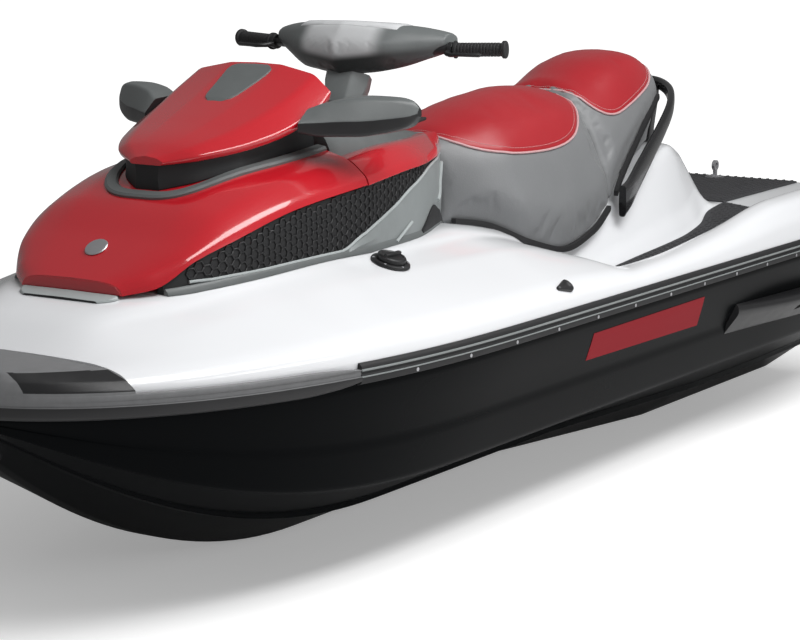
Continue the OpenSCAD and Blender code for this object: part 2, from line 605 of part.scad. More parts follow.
// Handlebar pad sections along Y: [x, z] from the low front round by the back to the nose
pad_lines = [
    [0, [[87, -64], [-38, -57], [-68, 8], [-53, 56], [62, 63], [112, 8]]],
    [110, [[66, -52], [-48, -46], [-74, 8], [-60, 54], [44, 58], [86, 8]]],
    [200, [[18, -22], [-66, -16], [-84, 8], [-76, 46], [0, 50], [28, 14]]],
    [250, [[-18, -2], [-73, -4], [-86, 6], [-78, 36], [-28, 40], [-8, 20]]]];
pad_ys = [0, 30, 60, 90, 110, 140, 170, 200, 225, 250];
pad_end = bar_w / 2 - grip_l - 25;
function pad_ring(y) = [for (p = lines_at(pad_lines, abs(y))) [bar_x + p[0], y * pad_end / 250, bar_z + p[1]]];
module handlebar_pad() {
    ys = concat([for (i = [len(pad_ys) - 1:-1:1]) -pad_ys[i]], pad_ys);
    color([0.32, 0.33, 0.34]) place() difference() {
        skin([for (y = ys) pad_ring(y)]);
        rod([bar_x, -bend_y - 4, bar_z], [bar_x, bend_y + 4, bar_z], bar_r + seat_eps);
        both() rod(bar_at(bend_y), bar_at(270), bar_r + 1);
        translate([bar_x, 0, bar_z]) rotate([0, -steer_lean, 0])
            translate([-27, -37, -90]) cube([54, 74, 113]);
        rod(on_axis(collar[1] - 5), on_axis(collar[1] + 90), steer_r + 18);
    }
}
module pad_cover() {
    ys = [for (y = concat([for (i = [len(pad_ys) - 1:-1:1]) -pad_ys[i]], pad_ys)) if (abs(y) <= 140) y];
    color([0.8, 0.8, 0.81]) place() skin([for (y = ys)
        let (r = pad_ring(y), b = r[3] + [2, 0, 0], f = r[4] - [2, 0, 0], up = [0, 0, 1])
        [f + seat_eps * up, b + seat_eps * up, b + 4 * up, f + 4 * up]]);
}

// ---------------------------------------------------------------- seats
// Half width and height: skirt, belly, shoulder, panel edge and crown
driver_lines = [
    [seam_x + seat_gap / 2, [[246, 128], [238, 210], [190, 322], [130, 418], [60, 432]]],
    [-2200, [[262, 70], [252, 170], [202, 306], [142, 414], [64, 438]]],
    [-2050, [[266, 42], [258, 150], [205, 296], [140, 402], [62, 430]]],
    [-1900, [[240, 76], [240, 166], [196, 300], [125, 388], [54, 408]]],
    [-1800, [[160, 128], [176, 195], [156, 300], [100, 366], [40, 382]]],
    [seat_front, [[92, 142], [100, 200], [88, 290], [60, 344], [24, 350]]]];
passenger_lines = [
    [seat_back, [[104, 372], [98, 386], [84, 404], [55, 418], [24, 422]]],
    [-2780, [[150, 372], [148, 400], [134, 440], [92, 474], [42, 484]]],
    [-2690, [[176, 340], [174, 372], [158, 424], [118, 490], [56, 504]]],
    [-2560, [[200, 268], [198, 310], [176, 384], [128, 470], [56, 492]]],
    [-2420, [[226, 182], [224, 240], [184, 350], [118, 432], [52, 450]]],
    [seam_x - seat_gap / 2, [[246, 132], [238, 210], [182, 332], [112, 420], [50, 434]]]];
function seat_under(x, w, skirt) =
    let (h = deck_top(x), c3 = h[8], c2 = h[7], a = min(c3[0], w - 24), b = max(a + 6, min(c2[0], w - 10)),
        e = seat_eps + 1.3)
    [[0, h[9][1] + e], [a, deck_z(x, a) + e], [b, max(deck_z(x, b) + e, skirt - 2)], [w, skirt]];
function seat_ring(lines, x) =
    let (h = [for (p = lines_at(lines, x)) [p[0], rail_z + p[1]]])
    whole(concat(seat_under(x, h[0][0], h[0][1]), [for (i = [1:4]) h[i]], [[0, h[4][1] + 3]]));
function between(a, b) = concat([a], [for (x = aft_xs) if (x > a + 12 && x < b - 12) x], [b]);
module driver_seat() {
    color([0.45, 0.46, 0.47]) place() difference() {
        loft(between(seam_x + seat_gap / 2, seat_front), function(x) seat_ring(driver_lines, x));
        // hollow seat base over the engine
        box([well_x[0] + 270, -110, rail_z - 60], [well_x[1] - 50, 110, rail_z + 200]);
    }
}
module passenger_seat() {
    color([0.45, 0.46, 0.47]) place() loft(between(seat_back, seam_x - seat_gap / 2),
        function(x) seat_ring(passenger_lines, x));
}
// Route of the grab handle, port half, front to back
grab_route = [[-2350, 264, 140], [-2400, 258, 158], [-2480, 243, 198], [-2580, 226, 250],
    [-2680, 208, 300], [-2780, 184, 352], [-2860, 142, 388], [-2915, 76, 408], [-2936, 0, 412]];
function grab_pts() = concat([for (p = grab_route) [p[0], p[1], rail_z + p[2]]],
    [for (i = [len(grab_route) - 2:-1:0]) let (p = grab_route[i]) [p[0], -p[1], rail_z + p[2]]]);
module grab_handle() {
    pts = grab_pts();
    n = len(pts);
    color([0.05, 0.05, 0.05]) place() {
        skin([for (i = [0:n - 1])
            let (a = pts[max(i - 1, 0)], b = pts[min(i + 1, n - 1)], d = [b[0] - a[0], b[1] - a[1], 0],
                side = cross([0, 0, 1], d / norm(d)), f = abs(i - (n - 1) / 2) / ((n - 1) / 2),
                hh = mix(15, 42, f ^ 1.4), w = 9)
            [for (q = [[-w, -hh], [w, -hh], [w + 2, 0], [w, hh], [-w, hh], [-w - 2, 0]])
                pts[i] + q[0] * side + [0, 0, q[1]]]]);
        // posts down to the deck behind the seat
        both() hull() {
            translate([-2908, 70, rail_z + 392]) cube([20, 16, 10]);
            translate([-2900, 40, deck_z(-2868, 40) + seat_eps]) cube([32, 34, 4]);
        }
    }
}

// ---------------------------------------------------------------- drive
module engine() {
    color([0.3, 0.3, 0.31]) place() difference() {
        union() {
            box([well_x[0] + 60, -140, 92 + seat_eps], [well_x[1] - 90, 140, rail_z - 40]);
            rod([well_x[0] + 61, 0, pump_z], [well_x[0] + 12, 0, pump_z], shaft_r + 14);
        }
        rod([well_x[0], 0, pump_z], [well_x[0] + 50, 0, pump_z], shaft_r + 0.05);
    }
}
module pump_housing() {
    color([0.6, 0.61, 0.62]) place() {
        difference() {
            union() {
                rod([tunnel_x - housing_l, 0, pump_z], [tunnel_x, 0, pump_z], pump_r + 9);
                rod([tunnel_x - 12, 0, pump_z], [tunnel_x, 0, pump_z], pump_r + 24);
                translate([tunnel_x - housing_l, 0, pump_z]) rotate([0, -90, 0])
                    cylinder(h = 50, r1 = pump_r + 9, r2 = 58);
                for (s = [-1, 1]) box([nozzle_x - 14, -16, pump_z + s * 71 - 5],
                    [tunnel_x - housing_l + 30, 16, pump_z + s * 71 + 5]);
                for (s = [-1, 1]) box([bucket_x - 14, s * 105 - 4, pump_z - 14],
                    [tunnel_x - housing_l + 30, s * 105 + 4, pump_z + 14]);
                for (s = [-1, 1]) box([tunnel_x - housing_l, s * 95 - 14, pump_z - 14],
                    [tunnel_x - housing_l + 30, s * 95 + 14, pump_z + 14]);
            }
            rod([tunnel_x - housing_l - 0.01, 0, pump_z], [tunnel_x + 1, 0, pump_z], pump_r);
            translate([tunnel_x - housing_l, 0, pump_z]) rotate([0, -90, 0])
                cylinder(h = 50.1, r1 = pump_r, r2 = 50);
        }
        difference() {
            union() {
                rod([tunnel_x - housing_l + 10, 0, pump_z], [tunnel_x - 104, 0, pump_z], 28);
                for (a = [0:60:359]) translate([tunnel_x - housing_l + 20, 0, pump_z]) rotate([a, 0, 0])
                    translate([0, -2, 20]) cube([60, 4, pump_r - 18]);
            }
            rod([tunnel_x - housing_l, 0, pump_z], [tunnel_x, 0, pump_z], shaft_r + 0.05);
        }
        for (s = [-1, 1]) rod([nozzle_x, 0, pump_z + s * 52], [nozzle_x, 0, pump_z + s * 76], 6);
        for (s = [-1, 1]) rod([bucket_x, s * 101, pump_z], [bucket_x, s * (bucket_y + 7), pump_z], 6);
    }
}
module impeller() {
    hub = [tunnel_x - 96, tunnel_x - 14];
    color([0.68, 0.69, 0.7]) place() {
        rod([tunnel_x - housing_l + 14, 0, pump_z], [well_x[0] + 46, 0, pump_z], shaft_r);
        rod([hub[0], 0, pump_z], [hub[1], 0, pump_z], 27);
        intersection() {
            for (a = [0:90:359]) translate([mix(hub[0], hub[1], 0.5), 0, pump_z]) rotate([a, 0, 0])
                rotate([0, 0, 48]) translate([-2.5, -60, 18]) cube([5, 120, pump_r]);
            rod([hub[0] + 4, 0, pump_z], [hub[1] - 4, 0, pump_z], pump_r - 1.5);
        }
    }
}
module steering_nozzle() {
    color([0.55, 0.56, 0.57]) place() difference() {
        union() {
            intersection() {
                translate([nozzle_x, 0, pump_z]) sphere(r = 62);
                box([nozzle_x - 40, -70, pump_z - 70], [nozzle_x + 34, 70, pump_z + 70]);
            }
            translate([nozzle_x - 20, 0, pump_z]) rotate([0, -90, 0]) cylinder(h = 90, r1 = 56, r2 = 46);
        }
        translate([nozzle_x, 0, pump_z]) sphere(r = 54);
        translate([nozzle_x, 0, pump_z]) rotate([0, -90, 0]) cylinder(h = 111, r1 = 50, r2 = 40);
        rod([nozzle_x, 0, pump_z - 80], [nozzle_x, 0, pump_z + 80], 6.05);
    }
}
// Reverse bucket: a curved shell between two side plates, raised at rest
bucket_r = 148;
bucket_arc = [80, 68];
bucket_y = 119;
module reverse_bucket() {
    color([0.5, 0.51, 0.52]) place() translate([bucket_x, 0, pump_z]) difference() {
        union() {
            rotate([90, 0, 0]) rotate([0, 0, bucket_arc[0]]) translate([0, 0, -bucket_y - 4])
                rotate_extrude(angle = bucket_arc[1]) translate([bucket_r - 6, 0])
                    square([6, 2 * bucket_y + 8]);
            for (s = [-1, 1]) translate([0, s * bucket_y, 0]) rotate([90, 0, 0]) translate([0, 0, -3])
                linear_extrude(6) polygon(concat([[-12, -8], [12, -8]],
                    [for (k = [0:8]) let (a = bucket_arc[0] + 1 + (bucket_arc[1] - 2) * k / 8)
                        (bucket_r - 3) * [cos(a), sin(a)]]));
            for (s = [-1, 1]) rod([0, s * (bucket_y - 5), 0], [0, s * (bucket_y + 3), 0], 14);
        }
        rod([0, -bucket_y - 9, 0], [0, bucket_y + 9, 0], 6.05);
    }
}
module ride_plate() {
    color([0.07, 0.07, 0.075]) place()
        box([-loa + 66, -stern_pad + 5, 0], [tunnel_x - 0.3, stern_pad - 5, 12 - seat_eps]);
}
module intake_grate() {
    color([0.25, 0.25, 0.26]) place() difference() {
        box([tunnel_x + 85, -91, 0], [tunnel_x + 435, 91, 6 - seat_eps]);
        for (i = [0:3]) box([tunnel_x + 104, -76 + i * 40, -1], [tunnel_x + 416, -44 + i * 40, 8]);
    }
}

// ---------------------------------------------------------------- fittings
step_x = -loa + 40;
step_z = 330;
step_len = 138;
step_y = 172;
module step_brackets() {
    color([0.2, 0.2, 0.21]) place() both() {
        for (y = [step_y - 20, step_y + 14])
            box([step_x - 12, y, step_z - 16], [-loa + 60 - seat_eps, y + 6, step_z + 16]);
        box([-loa + 54, step_y - 20, step_z - 24], [-loa + 60 - seat_eps, step_y + 20, step_z + 24]);
        rod([step_x, step_y - 20, step_z], [step_x, step_y + 20, step_z], 6);
    }
}
module boarding_step() {
    r = 10;
    color([0.15, 0.15, 0.16]) place() difference() {
        union() {
            both() {
                rod([step_x, step_y, step_z], [step_x, step_y, step_z + step_len], r);
                rod([step_x, step_y - 13, step_z], [step_x, step_y + 13, step_z], 13);
            }
            rod([step_x, -step_y - 12, step_z + step_len], [step_x, step_y + 12, step_z + step_len], r + 1);
        }
        rod([step_x, -step_y - 20, step_z], [step_x, step_y + 20, step_z], 6.05);
    }
}
eye_r = 9;
bow_eye_z = 345;
module bow_eye() {
    x = -forefoot + forefoot * sqrt(bow_eye_z / stem_h) + 34;
    color([0.8, 0.8, 0.82]) place() difference() {
        union() {
            rod([x, -5, bow_eye_z], [x, 5, bow_eye_z], eye_r + 8);
            rod([x - 98, 0, bow_eye_z], [x - eye_r - 3, 0, bow_eye_z], 5.9);
        }
        rod([x, -6, bow_eye_z], [x, 6, bow_eye_z], eye_r);
    }
}
module plate_eye(at) {
    translate(at) difference() {
        union() {
            rod([0, -5, 0], [0, 5, 0], eye_r + 8);
            box([0, -5, -12], [24, 5, 12]);
            box([24, -20, -24], [29.7, 20, 24]);
        }
        rod([0, -6, 0], [0, 6, 0], eye_r);
    }
}
module stern_eyes() {
    color([0.8, 0.8, 0.82]) place() both() plate_eye([-loa + 30, 400, 400]);
}
// Height of the tow eye over the mat
tow_up = 38;
module tow_hook() {
    z = stern_mat_z(-loa + 70) + mat_t + 2 * seat_eps;
    color([0.75, 0.75, 0.77]) place() difference() {
        union() {
            box([-loa + 50, -24, z], [-loa + 90, 24, z + 5]);
            box([-loa + 64, -5, z + 4], [-loa + 76, 5, z + tow_up - eye_r - 2]);
            rod([-loa + 70, -5, z + tow_up], [-loa + 70, 5, z + tow_up], eye_r + 7);
        }
        rod([-loa + 70, -6, z + tow_up], [-loa + 70, 6, z + tow_up], eye_r);
    }
}
cap_at = [-1060, 360];
module fuel_cap() {
    z = deck_z(cap_at[0], cap_at[1]);
    tilt = atan((deck_z(cap_at[0], cap_at[1] + 30) - deck_z(cap_at[0], cap_at[1] - 30)) / 60);
    color([0.04, 0.04, 0.04]) place() translate([cap_at[0], cap_at[1], z + 1.4]) rotate([tilt, 0, 0]) {
        cylinder(h = 8, r = 46);
        cylinder(h = 20, r = 34);
        translate([-30, -5, 8]) cube([60, 10, 18]);
    }
}
cleat_at = [-1480, 34];
module cleats() {
    y = rail_y(cleat_at[0], 0) - cleat_at[1];
    z = deck_z(cleat_at[0], y);
    tilt = atan((deck_z(cleat_at[0], y + 8) - deck_z(cleat_at[0], y - 8)) / 16);
    color([0.05, 0.05, 0.05]) place() both() translate([cleat_at[0], y, z + 0.9]) rotate([tilt, 0, 0])
        hull() {
            cylinder(h = 8, r = 15, $fn = 24);
            translate([34, 0, 0]) cylinder(h = 6, r = 5, $fn = 24);
        }
}
module flush_port() {
    color([0.1, 0.1, 0.1]) place() difference() {
        rod([-loa + 26, -280, 400], [-loa + 60 - seat_eps, -280, 400], 20);
        rod([-loa + 20, -280, 400], [-loa + 50, -280, 400], 12.5);
    }
}

hull_shell();
deck();
bow_bumper();
rub_rails();
sponsons();
deck_mats();
step_brackets();
hood_panel();
hood_band();
hood_visor();
hood_inset();
hood_straps();
mirrors();
mirror_glass();
hood_bracket();
nose_trim();
vents();
side_fairings();
storage_bin();
console();
gauge_cluster();
glovebox_lid();
steering_post();
handlebar();
handlebar_pad();
pad_cover();
grips();
levers();
driver_seat();
passenger_seat();
grab_handle();
engine();
pump_housing();
impeller();
steering_nozzle();
reverse_bucket();
intake_grate();
ride_plate();
boarding_step();
bow_eye();
stern_eyes();
tow_hook();
fuel_cap();
cleats();
flush_port();
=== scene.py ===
import json
import math

import bmesh
import bpy
from mathutils import Matrix, Vector
from mathutils.bvhtree import BVHTree

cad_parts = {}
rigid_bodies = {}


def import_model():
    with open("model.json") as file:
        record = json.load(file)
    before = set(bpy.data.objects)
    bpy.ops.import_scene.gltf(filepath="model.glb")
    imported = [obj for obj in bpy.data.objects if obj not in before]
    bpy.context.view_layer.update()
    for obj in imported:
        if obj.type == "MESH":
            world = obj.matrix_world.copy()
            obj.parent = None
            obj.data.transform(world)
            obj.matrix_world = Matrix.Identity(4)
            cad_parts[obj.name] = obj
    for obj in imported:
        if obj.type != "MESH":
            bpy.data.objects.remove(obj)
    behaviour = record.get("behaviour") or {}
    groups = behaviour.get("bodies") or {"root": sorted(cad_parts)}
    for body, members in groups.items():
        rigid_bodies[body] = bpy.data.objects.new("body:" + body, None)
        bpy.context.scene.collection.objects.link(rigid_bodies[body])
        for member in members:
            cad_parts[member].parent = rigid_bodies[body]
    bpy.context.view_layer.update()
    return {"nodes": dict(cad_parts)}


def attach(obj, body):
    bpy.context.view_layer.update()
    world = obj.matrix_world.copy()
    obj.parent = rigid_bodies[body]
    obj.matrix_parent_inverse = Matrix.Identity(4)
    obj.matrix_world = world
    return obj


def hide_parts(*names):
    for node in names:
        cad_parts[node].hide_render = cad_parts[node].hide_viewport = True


bl_info = {
    "name": "Personal Watercraft",
    "version": (1, 0, 0),
    "blender": (4, 5, 0),
    "location": "View3D > Sidebar > Watercraft",
    "description": "Builds the shells, seats and fittings of a personal watercraft on its packed frame",
    "category": "Add Mesh",
}

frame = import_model()

# ------------------------------------------------------------------ drawing frame
# Lines are drawn in millimetres: x = 0 at the bow tip and negative going aft, y to port, z up
# from the keel. metres() turns a drawn point into the shared frame.
LENGTH = 3540.0
BEAM = 1220.0
RAIL = 510.0
BOW = 1300.0
FOREFOOT = 1090.0
PAD_HALF = 50.0
STERN_PAD = 180.0
CHINE_HALF = 490.0
CHINE_Z = 215.0
RAIL_DEPTH = 14.0
TIP = 0.995
TRAY = RAIL - 70.0
TUNNEL = -LENGTH + 580.0
BAR = (-1462.0, 1102.0)
LEAN = math.radians(21.0)
HOOD_BACK = -1060.0
HOOD_FRONT = -395.0
SEAT_FRONT = -1716.0
SEAT_BACK = -2850.0
CONSOLE_BACK = -1706.0

# The main view: lens in mm on a 36 mm sensor, place in metres, heading and roll in degrees.
CAMERA_LENS = 112.5
CAMERA_PLACE = (5.321, 3.345, 1.530)
CAMERA_HEADING = (212.69, 10.29)
CAMERA_ROLL = 0.11
# The two lamps: name, place, target, size in metres and power in watts.
LAMPS = (("overhead", (0.3, 2.3, 3.9), (0, 0, 0.6), (4.8, 1.8), 190),
         ("side", (0.6, 5.2, 2.2), (0, 0, 0.7), (4.0, 1.0), 42))


def metres(x, y, z):
    return ((x + LENGTH / 2) / 1000, y / 1000, z / 1000)


def clamp(v, low, high):
    return max(low, min(high, v))


def mix(a, b, t):
    return a + (b - a) * t


def span(a, b, n):
    return [mix(a, b, k / n) for k in range(n + 1)]


def curve(knots, x):
    """Smooth curve through (x, value) knots that never overshoots, flat beyond its ends."""
    last = len(knots) - 1
    i = int(clamp(sum(1 for k in knots if k[0] <= x) - 1, 0, last - 1))

    def rise(j):
        return (knots[j + 1][1] - knots[j][1]) / (knots[j + 1][0] - knots[j][0])

    def slope(j):
        if j == 0:
            return rise(0)
        if j == last:
            return rise(last - 1)
        a, b = rise(j - 1), rise(j)
        return 0 if a * b <= 0 else 2 * a * b / (a + b)

    h = knots[i + 1][0] - knots[i][0]
    t = clamp((x - knots[i][0]) / h, 0, 1)
    p, q, m, n = knots[i][1], knots[i + 1][1], h * slope(i), h * slope(i + 1)
    return ((2 * t**3 - 3 * t**2 + 1) * p + (t**3 - 2 * t**2 + t) * m
            + (3 * t**2 - 2 * t**3) * q + (t**3 - t**2) * n)


def line_at(table, j, k, x):
    return curve([(s[0], s[1][j][k]) for s in table], x)


def lines_at(table, x):
    return [(line_at(table, j, 0, x), line_at(table, j, 1, x)) for j in range(len(table[0][1]))]


def above(points):
    """Half outline given in heights above the joint line, as heights above the keel."""
    return [(p[0], RAIL + p[1]) for p in points]


def rounded(points, radii, steps=4, closed=False):
    """Outline with each corner turned into a short curve; a radius of 0 leaves one sharp point."""
    out = []
    n = len(points)
    for i, (p, r) in enumerate(zip(points, radii)):
        ends = not closed and i in (0, n - 1)
        if r <= 0 or ends:
            out.append(p)
            continue
        a, b = points[i - 1], points[(i + 1) % n]
        la, lb = math.dist(p, a), math.dist(p, b)
        da = min(r, 0.46 * la) / max(la, 1e-6)
        db = min(r, 0.46 * lb) / max(lb, 1e-6)
        start = tuple(mix(u, v, da) for u, v in zip(p, a))
        end = tuple(mix(u, v, db) for u, v in zip(p, b))
        for k in range(steps + 1):
            t = k / steps
            out.append(tuple((1 - t) ** 2 * s + 2 * t * (1 - t) * c + t * t * e
                             for s, c, e in zip(start, p, end)))
    return out


def whole(half):
    """Port half section mirrored to a closed ring."""
    return list(half) + [(-y, z) for y, z in reversed(half) if y > 0.01]


def height_in(h, y):
    i = int(clamp(sum(1 for p in h if p[0] > y) - 1, 0, len(h) - 2))
    a, b = h[i], h[i + 1]
    t = 0 if a[0] == b[0] else clamp((a[0] - y) / (a[0] - b[0]), 0, 1)
    return mix(a[1], b[1], t)


# ------------------------------------------------------------------ hull and deck lines
def stern_in(x):
    return 50 * clamp((x + LENGTH - 800) / -800, 0, 1) ** 2


def rail_y(x):
    t = clamp((x + BOW) / BOW, 0, 1)
    return BEAM / 2 * math.sqrt(1 - (TIP * t) ** 2.6) - stern_in(x)


def keel_z(x):
    return 0 if x < -FOREFOOT else 456 * ((x + FOREFOOT) / FOREFOOT) ** 2


def chine_t(x):
    return clamp((x + BOW - 60) / (BOW - 60), 0, 1)


def chine_y(x):
    return CHINE_HALF * math.sqrt(1 - (TIP * chine_t(x)) ** 2.4) - 0.6 * stern_in(x)


def chine_h(x):
    return CHINE_Z + (RAIL - 45 - CHINE_Z) * chine_t(x) ** 3


def pad_y(x):
    if x < -FOREFOOT:
        return mix(STERN_PAD, PAD_HALF, clamp((x + LENGTH - 900) / 700, 0, 1))
    return mix(PAD_HALF, 12, (x + FOREFOOT) / FOREFOOT)


def tray(x):
    return mix(TRAY, RAIL, clamp((x + 500) / 100, 0, 1))


def hull_half(x):
    k, p = keel_z(x), pad_y(x)
    cy, ch = max(chine_y(x), p + 24), max(chine_h(x), k + 12)
    ry = max(rail_y(x) - RAIL_DEPTH, cy + 2)
    s, w = (ch - k) / (cy - p), cy - p
    return [(0, k), (p, k), (p + 0.46 * w, k + 0.46 * w * s - 3), (p + 0.52 * w, k + 0.46 * w * s - 1),
            (p + 0.53 * w, k + 0.53 * w * s), (cy - 6, ch - 8), (cy, ch),
            (mix(cy, ry, 0.3) + 3, mix(ch, RAIL - 45, 0.36)),
            (mix(cy, ry, 0.4) - 5, mix(ch, RAIL - 45, 0.44)),
            (mix(cy, ry, 0.8), mix(ch, RAIL - 45, 0.82)), (ry, RAIL - 44), (ry, RAIL),
            (0.86 * ry, RAIL), (0.8 * ry, tray(x)), (0, tray(x))]


GUNWALE = [
    (-3540, ((20, 58), (44, 82), (112, 88), (140, 66))),
    (-2950, ((18, 72), (42, 120), (104, 134), (136, 34))),
    (-2720, ((18, 66), (42, 116), (104, 130), (138, 10))),
    (-2340, ((16, 48), (40, 78), (100, 84), (142, -14))),
    (-2000, ((16, 38), (38, 56), (100, 58), (148, -40))),
    (-1850, ((16, 36), (38, 52), (104, 56), (160, -34))),
    (-1740, ((16, 38), (42, 60), (116, 84), (190, 92))),
    (-1440, ((16, 42), (46, 70), (122, 102), (200, 134))),
    (-940, ((16, 42), (46, 70), (122, 104), (205, 138))),
    (-500, ((16, 38), (44, 60), (112, 86), (180, 112))),
    (-174, ((14, 26), (34, 42), (66, 52), (110, 58)))]
CENTRE = [
    (-3540, ((250, 66), (200, 66), (120, 66), (60, 66))),
    (-2990, ((250, 62), (200, 62), (120, 62), (60, 62))),
    (-2905, ((246, 50), (216, 104), (150, 216), (104, 232))),
    (-2770, ((280, 24), (246, 76), (194, 232), (180, 248))),
    (-2620, ((294, 6), (258, 60), (206, 200), (192, 216))),
    (-2340, ((296, -14), (262, 20), (214, 128), (200, 146))),
    (-2000, ((276, -42), (262, -16), (236, 30), (218, 44))),
    (-1850, ((278, -36), (264, 0), (240, 52), (222, 70))),
    (-1740, ((310, 104), (290, 118), (250, 130), (222, 136))),
    (-1440, ((318, 154), (296, 166), (264, 174), (230, 175))),
    (-940, ((336, 158), (306, 170), (276, 175), (230, 175))),
    (-620, ((300, 146), (280, 158), (256, 166), (200, 168))),
    (-440, ((255, 124), (232, 136), (205, 146), (150, 150))),
    (-300, ((190, 108), (165, 116), (130, 122), (80, 124))),
    (-174, ((180, 60), (140, 61), (90, 62), (50, 62)))]


def deck_top(x):
    r, g, c = rail_y(x), lines_at(GUNWALE, x), lines_at(CENTRE, x)
    return ([(r - 12, RAIL + 16)] + [(r - p[0], RAIL + p[1]) for p in g]
            + [(min(p[0], r - 150), RAIL + p[1]) for p in c] + [(0, RAIL + c[3][1])])


def deck_z(x, y):
    return height_in(deck_top(x), abs(y))


def side_y(x, z):
    h = [hull_half(x)[i] for i in range(10, 5, -1)]
    i = int(clamp(sum(1 for p in h if p[1] > z) - 1, 0, len(h) - 2))
    a, b = h[i], h[i + 1]
    return mix(a[0], b[0], clamp((a[1] - z) / max(a[1] - b[1], 0.01), 0, 1))


# ------------------------------------------------------------------ front body lines
HOOD = [
    (-1060, ((300, 322), (294, 340), (250, 376), (165, 400))),
    (-800, ((290, 296), (284, 314), (240, 350), (158, 374))),
    (-620, ((270, 254), (264, 272), (225, 302), (150, 318))),
    (-510, ((235, 215), (230, 228), (200, 240), (140, 246))),
    (-440, ((190, 165), (186, 180), (170, 196), (120, 203))),
    (-395, ((135, 150), (132, 160), (120, 170), (90, 176)))]
VISOR = [
    (-1055, ((200, 505), (206, 524), (160, 562), (70, 580))),
    (-1000, ((206, 474), (212, 494), (162, 536), (70, 551))),
    (-900, ((196, 440), (204, 458), (152, 494), (64, 507))),
    (-800, ((168, 416), (176, 432), (130, 459), (54, 469))),
    (-700, ((110, 398), (118, 411), (90, 427), (38, 432))),
    (-650, ((40, 388), (46, 395), (30, 403), (14, 405)))]
FAIRING = [
    (-1706, ((92, 326), (88, 346), (76, 374))),
    (-1600, ((152, 334), (148, 352), (122, 384))),
    (-1500, ((208, 338), (204, 356), (168, 390))),
    (-1300, ((276, 336), (270, 353), (224, 392))),
    (-1066, ((300, 320), (294, 338), (246, 378)))]
CONSOLE = [
    (-1706, ((72, 300), (70, 345), (60, 364))),
    (-1575, ((132, 300), (120, 366), (96, 386))),
    (-1400, ((190, 300), (172, 380), (128, 412))),
    (-1200, ((205, 300), (190, 395), (140, 440))),
    (-1066, ((205, 300), (195, 400), (150, 455)))]
DRIVER = [
    (-2337, ((246, 128), (238, 210), (190, 322), (130, 418), (60, 432))),
    (-2200, ((262, 70), (252, 170), (202, 306), (142, 414), (64, 438))),
    (-2050, ((266, 42), (258, 150), (205, 296), (140, 402), (62, 430))),
    (-1900, ((240, 76), (240, 166), (196, 300), (125, 388), (54, 408))),
    (-1800, ((160, 128), (176, 195), (156, 300), (100, 366), (40, 382))),
    (-1716, ((92, 142), (100, 200), (88, 290), (60, 344), (24, 350)))]
PASSENGER = [
    (-2850, ((104, 372), (98, 386), (84, 404), (55, 418), (24, 422))),
    (-2780, ((150, 372), (148, 400), (134, 440), (92, 474), (42, 484))),
    (-2690, ((176, 340), (174, 372), (158, 424), (118, 490), (56, 504))),
    (-2560, ((200, 268), (198, 310), (176, 384), (128, 470), (56, 492))),
    (-2420, ((226, 182), (224, 240), (184, 350), (118, 432), (52, 450))),
    (-2343, ((246, 132), (238, 210), (182, 332), (112, 420), (50, 434)))]


def hood_top(x):
    return above(lines_at(HOOD, x))


def visor_top(x):
    h = above(lines_at(VISOR, x))
    return h + [(0, h[3][1] + 2)]


def console_half(x):
    h = lines_at(CONSOLE, x)
    z = max(deck_z(x, 0), deck_z(x, h[0][0])) + 0.3
    return [(0, z), (h[0][0], z)] + above(h) + [(0, RAIL + h[2][1] + 3)]


# ------------------------------------------------------------------ mesh tools
def new_object(name, mesh):
    obj = bpy.data.objects.new(name, mesh)
    bpy.context.scene.collection.objects.link(obj)
    return obj


def grid_mesh(name, rings, caps=True):
    """Mesh through closed rings of metre points, all the same length."""
    n, mesh = len(rings[0]), bpy.data.meshes.new(name)
    faces = []
    for i in range(len(rings) - 1):
        for j in range(n):
            k = (j + 1) % n
            faces.append((i * n + j, i * n + k, (i + 1) * n + k, (i + 1) * n + j))
    if caps:
        faces.append(tuple(range(n - 1, -1, -1)))
        faces.append(tuple((len(rings) - 1) * n + j for j in range(n)))
    mesh.from_pydata([p for r in rings for p in r], [], faces)
    bm = bmesh.new()
    bm.from_mesh(mesh)
    if caps:
        bmesh.ops.recalc_face_normals(bm, faces=bm.faces)
    bm.to_mesh(mesh)
    bm.free()
    return mesh


def loft(name, stations, section):
    """Solid through sections; section(x) gives the closed ring of (y, z) at that station."""
    return new_object(name, grid_mesh(name, [[metres(x, y, z) for y, z in section(x)] for x in stations]))


def mirror_copy(obj):
    """Adds the starboard twin of a port piece to its own mesh."""
    bm = bmesh.new()
    bm.from_mesh(obj.data)
    twin = bmesh.ops.duplicate(bm, geom=bm.verts[:] + bm.edges[:] + bm.faces[:])["geom"]
    verts = [g for g in twin if isinstance(g, bmesh.types.BMVert)]
    faces = [g for g in twin if isinstance(g, bmesh.types.BMFace)]
    for v in verts:
        v.co.y = -v.co.y
    bmesh.ops.reverse_faces(bm, faces=faces)
    bm.to_mesh(obj.data)
    bm.free()
    return obj


def apply_modifiers(obj):
    bpy.context.view_layer.update()
    deps = bpy.context.evaluated_depsgraph_get()
    mesh = bpy.data.meshes.new_from_object(obj.evaluated_get(deps))
    obj.modifiers.clear()
    old, obj.data = obj.data, mesh
    bpy.data.meshes.remove(old)
    return obj


def bevelled(obj, width, segments=3, angle=30):
    m = obj.modifiers.new("edges", "BEVEL")
    m.width, m.segments, m.limit_method, m.angle_limit = width, segments, "ANGLE", math.radians(angle)
    m.harden_normals = False
    return apply_modifiers(obj)


def smooth_by_angle(obj, degrees=32):
    obj.data.shade_smooth()
    obj.data.set_sharp_from_angle(angle=math.radians(degrees))
    return obj


